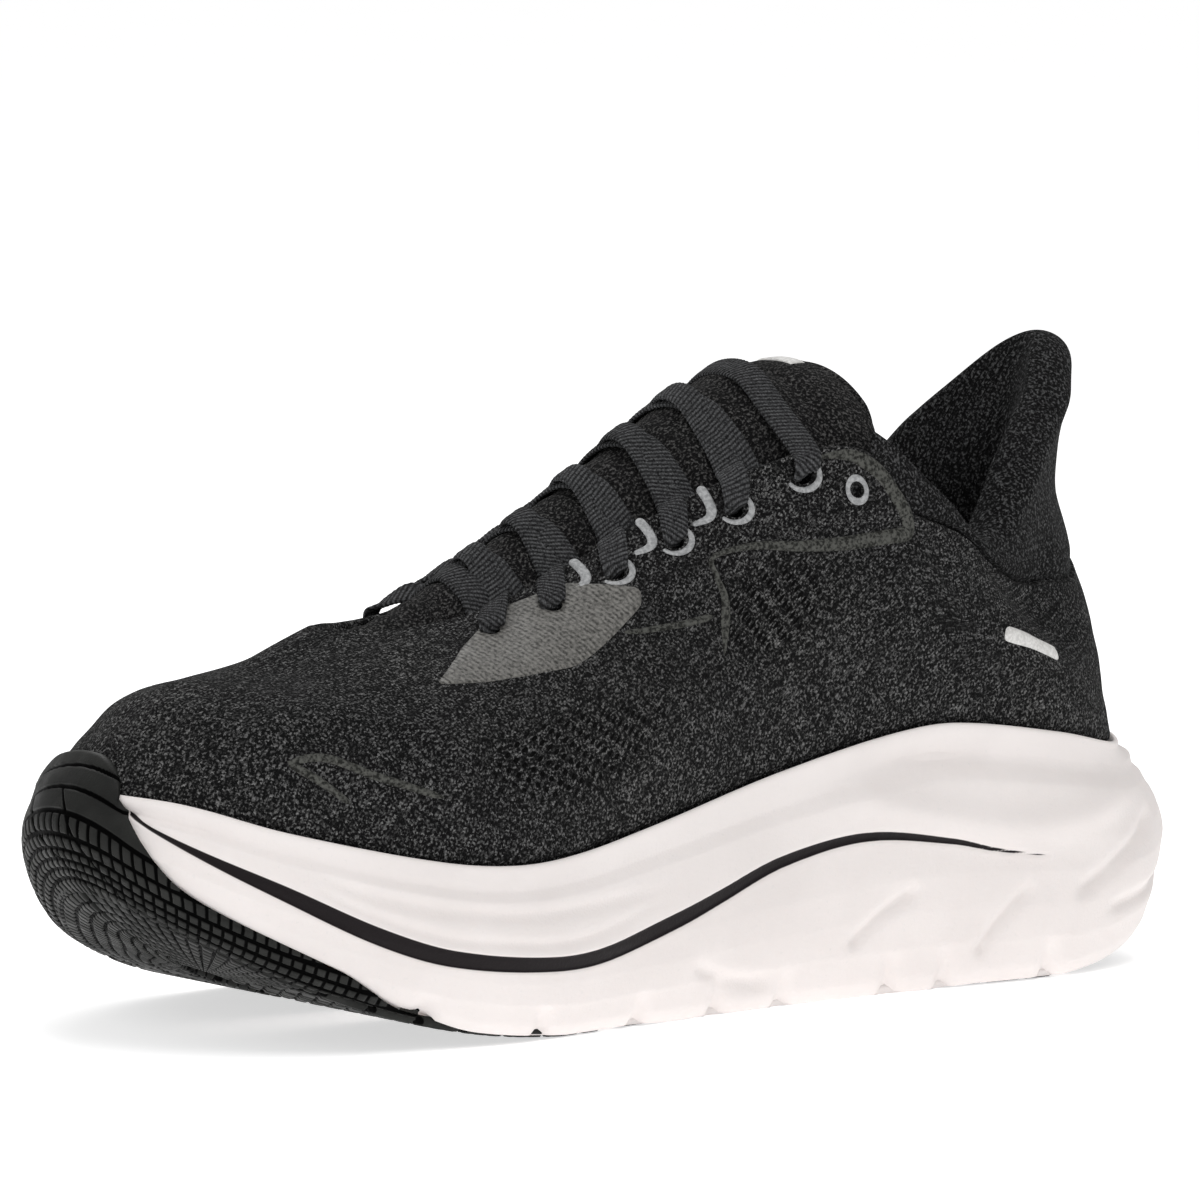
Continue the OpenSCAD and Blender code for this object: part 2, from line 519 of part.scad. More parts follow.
// A tail tucked in between tongue and wall, down from the edge at station k of the lateral side.
function tucked(k) = concat(
    [[off_wall(mirrored(k), 4.13, 0.9), 1], [off_wall(mirrored(k), 3.98, UNDER + 0.5), 1]],
    [for (i = [0:3]) [off_wall(mirrored(k), 3.65 - 0.35 * i, UNDER + 0.5 + 0.7 * i), 1]]
);
TAIL_MEDIAL = concat(
    [hole(5, 1)], over_edge(5, 1),
    [for (p = [[6.55, 0.7], [6.62, 0.25], [6.72, -0.25], [6.9, -0.7]]) [over_tongue(p[0], p[1], HIGH + 0.6), 1]],
    tucked(7.2)
);
TAIL_LATERAL = concat(
    [hole(5, -1)],
    [[off_wall(mirrored(6.6), EYELET_ROW + 0.03, OVER), 0.5], [off_wall(mirrored(6.78), 3.88, OVER - 0.1), 1]],
    tucked(6.84)
);
function tail(list) = [for (i = [1:len(list) - 1]) list[i]];
// The whole route: up one side from the bar, and up the other.
LACE = concat(
    backwards(concat(half_lace(1), TAIL_LATERAL)), tail(BAR), half_lace(-1), TAIL_MEDIAL
);
THROAT = unit([-0.87, 0, 0.48]);             // the lace's width lies along the throat
function lace_at(list, i, f) =
    let (n = len(list) - 1)
    cr(list[max(i - 1, 0)][0], list[i][0], list[min(i + 1, n)][0], list[min(i + 2, n)][0], f);
function lace_ring(c, t, width) =
    let (w = unit(THROAT - t * (THROAT * t)), n = cross(w, t), a = lace_w / 2 * width, b = lace_t / 2)
    [for (p = [[1, 0], [0.75, -1], [-0.75, -1], [-1, 0], [-0.75, 1], [0.75, 1]]) c + w * a * p[0] + n * b * p[1]];
module swept(list, parts) {
    steps = [for (i = [0:len(list) - 2], k = [0:parts - 1]) [i, k / parts]];
    centres = concat([for (p = steps) lace_at(list, p[0], p[1])], [list[len(list) - 1][0]]);
    widths = concat([for (p = steps) mix(list[p[0]][1], list[p[0] + 1][1], p[1])], [1]);
    last = len(centres) - 1;
    loft([
        for (i = [0:last])
            lace_ring(centres[i], unit(centres[min(i + 1, last)] - centres[max(i - 1, 0)]), widths[i])
    ]);
}
module lace() { color("#26272a") swept(LACE, 2); }
// The stiff tips at the lace's two ends.
module aglets() {
    color("#101011") for (list = [TAIL_MEDIAL, TAIL_LATERAL])
        let (n = len(list) - 1, d = unit(list[n][0] - list[n - 1][0]))
            translate(list[n][0] + d * 0.3)
                rotate([0, acos(d[2]), atan2(d[1], d[0])]) cylinder(h = 12, r = 1.5, $fn = 20);
}

midsole();
toe_bumper();
outsole_forefoot_medial();
outsole_forefoot_lateral();
outsole_ball_medial();
outsole_ball_lateral();
outsole_heel_medial();
outsole_heel_lateral();
outsole_heel_rear();
strobel_board();
sockliner_front();
sockliner_heel();
upper_knit();
toe_puff();
heel_counter();
collar_foam();
collar_cover();
eyestay(true);  // eyestay_medial
eyestay(false);  // eyestay_lateral
eyelet_rings(true);  // eyelet_rings_medial
eyelet_rings(false);  // eyelet_rings_lateral
piping(true);  // piping_medial
piping(false);  // piping_lateral
tongue_body();
tongue_top();
tongue_label();
lace();
aglets();
color("#dedcd8") patch(8.1, 9.8, 1.93, 2.12, 2.0, 2.25);  // heel_flash_medial
color("#dedcd8") patch(12.2, 13.9, 2.0, 2.25, 1.93, 2.12);  // heel_flash_lateral
color("#a9aaab") patch(2.75, 4.3, 2.75, 3.2, 2.95, 3.24);  // side_patch_medial
color("#a9aaab") patch(17.7, 19.25, 2.95, 3.24, 2.75, 3.2);  // side_patch_lateral
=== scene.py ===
"""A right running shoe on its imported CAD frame: knitted upper, padded collar, tongue, laces and sole."""
import math

import bpy
import numpy as np
from mathutils import Matrix, Quaternion, Vector
from mathutils.geometry import delaunay_2d_cdt


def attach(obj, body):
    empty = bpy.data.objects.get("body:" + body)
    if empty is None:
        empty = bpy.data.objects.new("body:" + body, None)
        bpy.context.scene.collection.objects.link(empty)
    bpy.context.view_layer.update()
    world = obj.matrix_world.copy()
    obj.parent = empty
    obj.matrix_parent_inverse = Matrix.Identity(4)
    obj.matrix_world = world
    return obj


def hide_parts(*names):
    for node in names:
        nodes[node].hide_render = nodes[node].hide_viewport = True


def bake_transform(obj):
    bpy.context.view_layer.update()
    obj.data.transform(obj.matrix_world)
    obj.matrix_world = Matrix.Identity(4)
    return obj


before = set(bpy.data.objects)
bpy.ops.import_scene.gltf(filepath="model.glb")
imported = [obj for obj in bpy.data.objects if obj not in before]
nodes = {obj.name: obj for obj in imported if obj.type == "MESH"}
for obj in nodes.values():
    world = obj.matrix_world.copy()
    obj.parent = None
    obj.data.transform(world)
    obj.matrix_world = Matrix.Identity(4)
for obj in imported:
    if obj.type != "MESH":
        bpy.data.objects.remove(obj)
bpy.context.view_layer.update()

MM = 0.001                   # the tables below are in millimetres, as in the CAD
STATIONS = 22                # stations round the outline: 0 is the toe tip, 11 the heel, medial side first

# ---- the shoe's tables: the CAD's, set closer to the photograph at the rim, the toe box and the tongue ----
OUTLINE = np.array([
    (150, 7), (145, 24), (128, 41), (98, 52), (62, 56), (25, 51.5), (-15, 46), (-60, 44.5), (-100, 45),
    (-130, 37), (-145.5, 20), (-150, 0), (-145.5, -20), (-130, -37), (-100, -45.5), (-60, -47), (-15, -49.5),
    (25, -54), (58, -56), (92, -51), (120, -38), (142, -14)], float)
OPENING = np.array([
    (82, 4, 84), (74, 10, 84), (60, 14, 85), (43, 16, 88), (25, 18, 95), (4, 21, 105), (-18, 26, 114),
    (-42, 33, 119), (-66, 35, 108), (-86, 31, 98), (-112, 22, 120), (-133, 0, 138), (-112, -22, 121),
    (-86, -32, 99), (-66, -36, 106), (-42, -33, 117), (-18, -27, 112), (4, -21, 103), (25, -17, 93.5),
    (43, -13, 87), (60, -9, 84), (74, -3, 84)], float)
BULGE = np.array([
    (9, 2.2), (11, 3.8), (12, 7), (11, 8), (9, 8), (7, 6), (5, 4), (4, 2), (3, -1), (3, -3), (3, -5),
    (2, -7), (3, -5), (3, -3), (3, -1), (4, 2), (5, 4), (7, 6), (9.5, 6.5), (10, 4.3), (9.5, 2.4),
    (9, 1.8)], float)
GROUND = [(-150, 26), (-138, 11), (-120, 3), (-102, 0), (-90, 0), (35, 0), (48, 0), (72, 2.5), (95, 8),
          (120, 18), (138, 29), (150, 40)]
RIM_MEDIAL = [(-150, 51.5), (-142, 51), (-126, 50), (-98, 54.7), (-66, 58.7), (-47, 57.4), (-15, 51.4),
              (22, 43.4), (45, 39.2), (64, 37.8), (84, 39.7), (118, 47), (138, 52.8), (150, 54.5)]
RIM_LATERAL = [(-150, 51.5), (-142, 51), (-126, 50), (-98, 53.5), (-66, 56), (-47, 54.5), (-15, 49),
               (22, 42), (45, 39.5), (64, 38.5), (84, 40.5), (118, 47.5), (138, 52.8), (150, 54.5)]
BED = [(-150, 37), (-100, 36), (-60, 35), (-15, 32), (30, 28.5), (60, 28), (90, 32), (118, 40), (138, 47),
       (150, 50)]
RIM_INSET = [(-150, 18), (-138, 13), (-120, 9), (-90, 5.5), (-50, 3.5), (40, 4), (110, 4), (150, 5)]
SIDE = [(0, 0, 5.5), (0.05, 0, 3.6), (0.14, 0, 1.8), (0.28, 0, 0.5), (0.42, 0, 0), (0.56, 0.1, 0),
        (0.68, 0.25, 0), (0.78, 0.4, 0), (0.84, 0.5, 0.9), (0.9, 0.6, 0.2), (1, 1, -1.6)]
KNIT_TOP = [(0, 4), (1.2, 3.97), (2.2, 3.3), (6.2, 3.2), (7, 3.3), (7.6, 3.42), (8.1, 3.55), (8.8, 3.52),
            (9.4, 2.92), (10, 2.45), (11, 2.28)]
BUMPER_TOP = [(-3.4, 0.07), (-2.6, 0.15), (-1.9, 0.24), (-1.65, 0.5), (-1.35, 0.97), (-1, 1.27),
              (-0.5, 1.38), (0.2, 1.38), (0.6, 1.24), (0.87, 1), (1.07, 0.7), (1.23, 0.49), (1.45, 0.3),
              (1.7, 0.22), (2.3, 0.18), (2.8, 0.13), (3.3, 0.07)]
# Station, row and half width of the piping.
PIPING = [(6.62, 3.93, 0.7), (6.95, 3.93, 1.3), (7.12, 3.87, 1.7), (7.24, 3.75, 1.9), (7.3, 3.57, 1.9),
          (7.34, 3.31, 1.9), (7.26, 3.05, 1.8), (7.03, 2.94, 1.7), (6.68, 2.92, 1.6), (6.35, 3.01, 1.3),
          (5.93, 3.18, 0.9), (5.61, 3.26, 0.6), (5.47, 3.24, 0.6), (5.5, 3.04, 0.7), (5.55, 2.81, 1),
          (5.53, 2.58, 1.2), (5.49, 2.3, 1)]
TONGUE_LIFT = [(0, 1), (1, 3), (2, 6.5), (3, 10.5), (4, 12.3), (5, 14.3), (6, 16.5), (7, 18.5)]
TONGUE_TOP = [(-62, 132.5, 21, 118.5), (-58, 134.2, 26, 116), (-52, 135, 29, 114.5), (-46, 134.6, 30, 113.5),
              (-40, 133.4, 30, 112.5), (-35, 132, 29.5, 112)]
EYELETS = [3.0, 3.76, 4.5, 5.17, 5.82, 6.5]
EYELET_ROWS = [3.62, 3.63, 3.64, 3.64, 3.68, 3.79]
SPARE = (6.92, 3.5)              # the unused eyelet by the ankle
SPARE_R = 1.76
COLLAR = (7.4, 14.6)

RUBBER_T = 2.5                   # thickness of the rubber under the sole
KNIT_T = 1.8
FOLD = 3                         # how much further in than the rim the knit's lower edge lies
LIP = 1.6                        # how far the foam's lip stands out from the knit
GAP = 0.25
EYELET_R = 2.2
EYESTAY_T = 2.1
COLLAR_SKIN = 1
PADDING_T = 7
LINING_DEPTH = KNIT_T + 0.5 + 1.2 + 0.35 + COLLAR_SKIN   # knit, heel stiffener and their gaps
TONGUE_T = 4
TONGUE_DEPTH = 4.8               # depth of the tongue's edges under the wall's face
LACE_W = 6.5
LACE_T = 1.6
EPS = 0.01                       # a small step in stations or rows, for slopes


# ---- curves ----
def mix(a, b, f):
    return a + (b - a) * f


def unit(v):
    return v / np.linalg.norm(v, axis=-1, keepdims=True)


def smooth(x, lo, hi):
    f = np.clip((np.asarray(x, float) - lo) / (hi - lo), 0, 1)
    return f * f * (3 - 2 * f)


def cubic(a, b, c, d, f):
    return 0.5 * (2 * b + (c - a) * f + (2 * a - 5 * b + 4 * c - d) * f**2 + (3 * b - a - 3 * c + d) * f**3)


def at(table, s):
    """A closed table read at station s."""
    s = np.asarray(s, float)
    i = np.floor(s).astype(int)
    f = (s - i)[..., None]
    n = len(table)
    return cubic(table[(i - 1) % n], table[i % n], table[(i + 1) % n], table[(i + 2) % n], f)


def curve(table, x):
    """A smooth curve through the table's (x, value) points."""
    xs, zs = np.array(table, float)[:, :2].T
    k = np.arange(len(xs))
    lo, hi = np.maximum(k - 1, 0), np.minimum(k + 1, len(xs) - 1)
    m = (zs[hi] - zs[lo]) / (xs[hi] - xs[lo])
    x = np.clip(np.asarray(x, float), xs[0], xs[-1])
    i = np.clip(np.searchsorted(xs, x, side="right") - 1, 0, len(xs) - 2)
    h = xs[i + 1] - xs[i]
    f = (x - xs[i]) / h
    return ((2 * f**3 - 3 * f**2 + 1) * zs[i] + (f**3 - 2 * f**2 + f) * m[i] * h
            + (3 * f**2 - 2 * f**3) * zs[i + 1] + (f**3 - f**2) * m[i + 1] * h)


def through(points, parts):
    """An open smooth line through a list of points, parts steps to each stretch."""
    p = np.array(points, float)
    p = np.concatenate([p[:1], p, p[-1:]])
    f = np.arange(parts)[:, None] / parts
    line = [cubic(p[i], p[i + 1], p[i + 2], p[i + 3], f) for i in range(len(p) - 3)]
    return np.concatenate(line + [p[-1:]])


def xyz(x, y, z):
    return np.stack(np.broadcast_arrays(x, y, z), -1).astype(float)


# ---- the sole's edges and the wall of the upper, in millimetres ----
def ground(x):
    return np.maximum(0, curve(GROUND, x))


def outward(s):
    d = at(OUTLINE, s + EPS) - at(OUTLINE, s - EPS)
    return unit(np.stack([d[..., 1], -d[..., 0]], -1))


def outward3(s):
    n = outward(s)
    return xyz(n[..., 0], n[..., 1], 0)


def drawn_in(s, inset):
    return at(OUTLINE, s) - outward(s) * np.asarray(inset)[..., None]


def rim_z(p):
    w = np.clip(0.5 + p[..., 1] / 30, 0, 1)
    return mix(curve(RIM_LATERAL, p[..., 0]), curve(RIM_MEDIAL, p[..., 0]), w)


def rim_inset(s):
    return curve(RIM_INSET, at(OUTLINE, s)[..., 0])


def rim(s):
    q = drawn_in(s, rim_inset(s))
    return xyz(q[..., 0], q[..., 1], rim_z(at(OUTLINE, s)))


def foot(s):
    q = drawn_in(s, rim_inset(s) + FOLD)
    return xyz(q[..., 0], q[..., 1], curve(BED, q[..., 0]))


def knots(s):
    e, o, b, f, n3 = rim(s), at(OPENING, s), at(BULGE, s), foot(s), outward3(s)
    c = unit(o - e)
    out = unit(n3 - c * np.sum(n3 * c, -1, keepdims=True))
    low = mix(e, o, 0.35) + out * b[..., :1]
    high = mix(e, o, 0.7) + out * b[..., 1:]
    return np.stack([2 * f - e, f, e, low, high, o, 2 * o - high], -2), unit(np.cross(c, n3))


def wall(s, v, depth=0.0):
    """The wall at stations s and rows v (0 foot, 1 rim, 4 the opening's edge), depth under its outer face."""
    s, v, depth = [a.astype(float) for a in np.broadcast_arrays(s, v, depth)]
    k, w = knots(s)

    def on(v):
        i = np.clip(np.floor(v), 0, 3).astype(int)
        g = [np.take_along_axis(k, (i + j)[..., None, None], -2)[..., 0, :] for j in range(4)]
        return cubic(*g, (v - i)[..., None])
    t = unit(on(v + EPS) - on(v - EPS))
    return on(v) + np.cross(t, w) * depth[..., None]


def face_normal(s, v):
    return unit(np.cross(wall(s + EPS, v) - wall(s - EPS, v), wall(s, v + EPS) - wall(s, v - EPS)))


def off_wall(s, v, depth):
    """The same at a true distance under the outer face."""
    s, v, depth = [a.astype(float) for a in np.broadcast_arrays(s, v, depth)]
    return wall(s, v) - face_normal(s, v) * depth[..., None]


def moved_in(path, w, d):
    """Paths (stations, points, 3) moved inwards by d, in each station's own plane."""
    t = np.empty_like(path)
    t[:, 1:-1] = path[:, 2:] - path[:, :-2]
    t[:, 0] = path[:, 1] - path[:, 0]
    t[:, -1] = path[:, -1] - path[:, -2]
    d = np.broadcast_to(np.asarray(d, float), path.shape[:2])
    return path + np.cross(unit(t), w[:, None]) * d[..., None]


def wall_plane(s):
    return unit(np.cross(unit(at(OPENING, s) - rim(s)), outward3(s)))


def knit_top(s):
    s = np.mod(s, STATIONS)
    return curve(KNIT_TOP, np.minimum(s, STATIONS - s))


def side_point(s, h):
    """The side of the sole at a part h of its height."""
    heights, shares, insets = np.array(SIDE).T
    q = drawn_in(s, rim_inset(s) * np.interp(h, heights, shares) + np.interp(h, heights, insets))
    g = ground(q[..., 0]) + RUBBER_T
    return xyz(q[..., 0], q[..., 1], mix(g, rim_z(at(OUTLINE, s)), h))


def on_side(k, g):
    return k if g > 0 else STATIONS - k


# ---- meshes ----
def add_mesh(name, points, faces, body="shoe", **attributes):
    """A smooth-shaded object from points in millimetres; attributes are named values at its points."""
    mesh = bpy.data.meshes.new(name)
    mesh.from_pydata([], [], [])
    points = np.asarray(points, float).reshape(-1, 3) * MM
    mesh.vertices.add(len(points))
    mesh.vertices.foreach_set("co", points.ravel())
    sizes = np.array([len(f) for f in faces])
    mesh.loops.add(int(sizes.sum()))
    corners = np.concatenate([np.asarray(f) for f in faces])
    mesh.loops.foreach_set("vertex_index", corners.astype(np.int32))
    mesh.polygons.add(len(sizes))
    starts = np.concatenate([[0], np.cumsum(sizes)[:-1]])
    mesh.polygons.foreach_set("loop_start", starts.astype(np.int32))
    mesh.polygons.foreach_set("use_smooth", np.ones(len(sizes), bool))
    for key, values in attributes.items():
        layer = mesh.attributes.new(key, "FLOAT", "POINT")
        layer.data.foreach_set("value", np.asarray(values, float).ravel())
    mesh.update(calc_edges=True)
    mesh.validate()
    piece = bpy.data.objects.new(name, mesh)
    bpy.context.scene.collection.objects.link(piece)
    if body:
        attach(piece, body)
    return piece


def quads(n, m, start=0, wrap_n=False, wrap_m=False):
    """Faces of an n by m grid of points."""
    rows, columns = np.arange(n if wrap_n else n - 1), np.arange(m if wrap_m else m - 1)
    i, j = np.meshgrid(rows, columns, indexing="ij")
    a, b = i * m + j, (i + 1) % n * m + j
    c, d = (i + 1) % n * m + (j + 1) % m, i * m + (j + 1) % m
    return np.stack([a, b, c, d], -1).reshape(-1, 4) + start


def cap(first, n, flip):
    """Closes a ring of n points by rungs across it."""
    i = np.arange(n // 2 - 1)
    f = np.stack([i, i + 1, n - 2 - i, n - 1 - i], -1) + first
    return f[:, ::-1] if flip else f


def add_rings(name, rings, closed=False, body="shoe", **attributes):
    """A closed solid from rings of points: rings has the shape (count, points, 3)."""
    count, n = rings.shape[:2]
    faces = [quads(count, n, wrap_n=closed, wrap_m=True)]
    if not closed:
        faces += [cap(0, n, False), cap((count - 1) * n, n, True)]
    return add_mesh(name, rings, np.concatenate(faces), body, **attributes)


def both(a, b=None):
    """Points or values along a path and back again, on the same path or on b: a sheet's two faces."""
    return np.concatenate([a, (a if b is None else b)[:, ::-1]], 1)


def lengths(points, axis):
    """Running length along one axis of a grid of points, in metres."""
    step = np.linalg.norm(np.diff(points, axis=axis), axis=-1)
    zero = np.zeros_like(np.take(step, [0], axis))
    return np.cumsum(np.concatenate([zero, step], axis), axis) * MM


def ring_round(thickness, gap, width):
    """Thickness that falls away in a round shoulder where gap, the distance to an edge, is under width."""
    u = 1 - np.clip(gap / width, 0, 1)
    return thickness * np.sqrt(np.maximum(1 - u**2, 0.01))


def near_line(x, z, line):
    """Distance from each point of a grid to a line of points, and the part of the line nearest to it."""
    best, place = np.full(x.shape, 1e9), np.zeros(x.shape)
    for i, (a, b) in enumerate(zip(line[:-1], line[1:])):
        d = b - a
        t = np.clip(((x - a[0]) * d[0] + (z - a[1]) * d[1]) / max(d @ d, 1e-9), 0, 1)
        gap = np.hypot(x - a[0] - t * d[0], z - a[1] - t * d[1])
        closer = gap < best
        best = np.where(closer, gap, best)
        place = np.where(closer, (i + t) / (len(line) - 1), place)
    return best, place


def waves(points, size, seed):
    """Smooth unevenness between about -1 and 1 from seeded sine waves; size is their length in mm."""
    rng = np.random.default_rng(seed)
    total = np.zeros(points.shape[:-1])
    for _ in range(24):
        direction = unit(rng.normal(size=3))
        period = size * rng.uniform(0.7, 1.5)
        total += np.sin(points @ direction * 2 * np.pi / period + rng.uniform(0, 2 * np.pi))
    return total / 4.9


def folded(s):
    """The station on the medial side that mirrors s."""
    s = np.mod(s, STATIONS)
    return np.minimum(s, STATIONS - s)


EDGE_S = np.linspace(0, STATIONS / 2, 400)
EDGE_MM = np.concatenate([[0], np.cumsum(np.linalg.norm(np.diff(at(OUTLINE, EDGE_S), axis=0), axis=1))])


def edge_mm(s):
    """How far a station lies from the toe tip, along the sole's edge."""
    return np.interp(folded(s), EDGE_S, EDGE_MM)


# ---- the sole ----
# The black line round the midsole: station, height and half width.
STRIPE = [(1, 51, 0.35), (1.28, 47.7, 0.4), (2.3, 35.5, 1.5), (2.96, 25.4, 1.8), (3.46, 19.8, 1.75),
          (4.17, 16.8, 1.6), (4.6, 17.6, 1.7), (5.17, 22.6, 1.7), (5.54, 26.8, 1.5), (6.01, 32.5, 1.25),
          (6.55, 35.8, 1), (7.09, 33.2, 0.65), (7.38, 30.6, 0.4), (7.75, 28.3, 0.1)]
# Lines moulded into the midsole's side: width, height (negative for a groove) and points, station and height.
MOULDED = [
    (1.5, -0.7, [(2.49, 39.1), (2.97, 33.2), (3.57, 28.9), (4.2, 27.3), (5.21, 30.3)]),
    (1.2, -0.5, [(2.47, 37.8), (2.79, 31.8), (3.29, 25.4), (3.71, 22.5), (4.39, 21.3), (5.19, 28.6)]),
    (3.2, -1.2, [(6.2, 47), (6.72, 51.2), (7.14, 51.3), (7.58, 49.6), (8.47, 46.3), (9.3, 45)]),
    (4, 1.1, [(5.9, 39.2), (6.44, 43.7), (6.69, 42), (7.1, 38.2), (7.52, 35.4), (8.06, 36), (8.6, 40),
              (9.3, 41)]),
    (1.8, -1.1, [(6.89, 24.2), (6.64, 18.7), (6.43, 11.2)]),
    (1.8, -1.1, [(7.67, 23), (7.44, 15), (7.3, 7.1)]),
    (2.2, -1.2, [(9.1, 35), (8.55, 26.9), (7.97, 18.5)]),
    (2, -1, [(9.6, 27), (9.1, 18.5), (8.3, 14.5)]),
    (1.6, -0.7, [(5.3, 12.7), (5.6, 8.5), (6, 6.5)]),
]
FAR_OFF = 5.0                                           # a distance clear of the black line, in mm
NOTCHES = [3.4, 4.2, 5.0, 5.63, 6.1, 6.79, 7.15, 7.9]   # stations of the cuts in the sole's lower edge
SPINE_END = 106                                         # x at which the sole's spine ends, toe and heel


def to_spine(p, f):
    q = np.stack([np.clip(p[..., 0], -SPINE_END, SPINE_END), 0 * p[..., 1]], -1)
    return mix(q, p[..., :2], np.asarray(f)[..., None])


def under_point(p, f, dz):
    q = to_spine(p, f)
    return xyz(q[..., 0], q[..., 1], ground(q[..., 0]) + dz)


def bed_point(p, f, dz):
    q = to_spine(p, f)
    return xyz(q[..., 0], q[..., 1], curve(BED, q[..., 0]) + dz)


def to_stripe(x, z):
    """Distance in mm outside the edge of the black line, and its height; x runs along the sole's edge."""
    table = np.array(STRIPE)
    table[:, 0] = edge_mm(table[:, 0])
    line, half = curve(table[:, :2], x), curve(table[:, [0, 2]], x)
    slope = (curve(table[:, :2], x + 0.5) - curve(table[:, :2], x - 0.5))
    gap = np.abs(z - line) / np.sqrt(1 + slope**2) - half
    return np.where((x < table[0, 0]) | (x > table[-1, 0]), FAR_OFF, gap), line


def moulded_relief(s, h, side):
    """How far the foam's side stands out in mm, and the distance to the black line."""
    x, z = edge_mm(s) + 0 * h, side[..., 2]
    stripe, line = to_stripe(x, z)
    relief = -0.45 * smooth(-stripe, -0.35, 0.35)
    relief = relief - 0.25 * smooth(z, line + 2, line - 2) * smooth(-stripe, -9, 0)
    for width, height, points in MOULDED:
        p = np.array([(edge_mm(a), b) for a, b in points])
        gap, place = near_line(x, z, through(p, 8))
        relief += height * np.exp(-(gap / width)**2) * smooth(place, 0, 0.25) * smooth(place, 1, 0.8)
    for k in NOTCHES:
        relief -= 1.6 * np.exp(-((x - edge_mm(k) + 0.25 * z) / 2.2)**2) * smooth(h, 0.16, 0.02)
    return 1.35 * relief + 0.2 * waves(side, 34, 1), stripe


def add_midsole(along=900, up=84):
    """The foam midsole: the side with its relief, the lip over the knit, the bed and the underside."""
    s = (np.arange(along) / along * STATIONS + STATIONS / 2)[:, None]
    h = np.linspace(0, 0.9, up)[None]
    side = side_point(s, h)
    relief, stripe = moulded_relief(s, h, side)
    side = side + outward3(s) * relief[..., None]
    # The foam reaches down beside the rubber pads.
    drop = 1.9 * smooth(folded(s), 3.2, 3.7)
    drop = drop + 0.45 * smooth(folded(s), 4.9, 5.3) * smooth(folded(s), 7.4, 7)
    side[..., 2] -= drop * smooth(h, 0.14, 0)
    lip = [(0.9, -1.6), (0.95, -1.68), (0.985, -1.6), (1.005, -1.3), (1.01, -0.9), (1, -0.5), (0.9, -0.27),
           (0.5, -0.25), (0, -0.25)]
    under = [(0.08, 0), (0.3, 0), (0.55, 0), (0.8, 0), (0.97, 0), (0.985, 1)]
    edge = side_point(s[:, 0], 0)
    rings = np.concatenate(
        [np.stack([under_point(edge, f, RUBBER_T - drop[:, 0] * low) for f, low in under], 1), side,
         np.stack([wall(s[:, 0], v, d) for v, d in lip], 1),
         np.stack([bed_point(foot(s[:, 0]), f, -GAP) for f in (0.94, 0.45, 0.08)], 1)], 1)
    mask = np.full(rings.shape[:2], FAR_OFF)
    mask[:, len(under):len(under) + up] = stripe
    n, m = rings.shape[:2]
    ends = [np.arange(n) * m, (np.arange(n) * m + m - 1)[::-1]]
    faces = [tuple(f) for f in quads(n, m, wrap_n=True)] + [tuple(e) for e in ends]
    piece = add_mesh("midsole_foam", rings, faces, stripe=mask)
    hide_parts("midsole")
    return piece


BUMPER_T = 1.5
ROW_CUTS = [-2.2, 0.4, 2.8, 5.4, 8.4, 12, 17.4, 22.8]   # heights of the cuts along the bumper, in mm
SLATS = (5.4, 12)                                       # heights between which it is cut into slats
LONG_CUTS = (15, 2)                                     # where the two long slanting cuts start, in mm
ONCE = 900                                              # a pitch so long that a groove comes only once
CUT_DEPTH = 0.6


def toe_point(s, q):
    out = wall(s, np.maximum(q, 1), mix(-LIP, -0.1, np.clip((q - 1) / 0.12, 0, 1)))
    return np.where(q[..., None] <= 1, side_point(s, np.minimum(q, 1)), out)


def groove(x, pitch, width):
    """1 in grooves that repeat every pitch, with soft shoulders, and 0 between them."""
    gap = np.abs(np.mod(x / pitch + 0.5, 1) - 0.5) * pitch
    return 1 - smooth(gap, width * 0.3, width * 0.75)


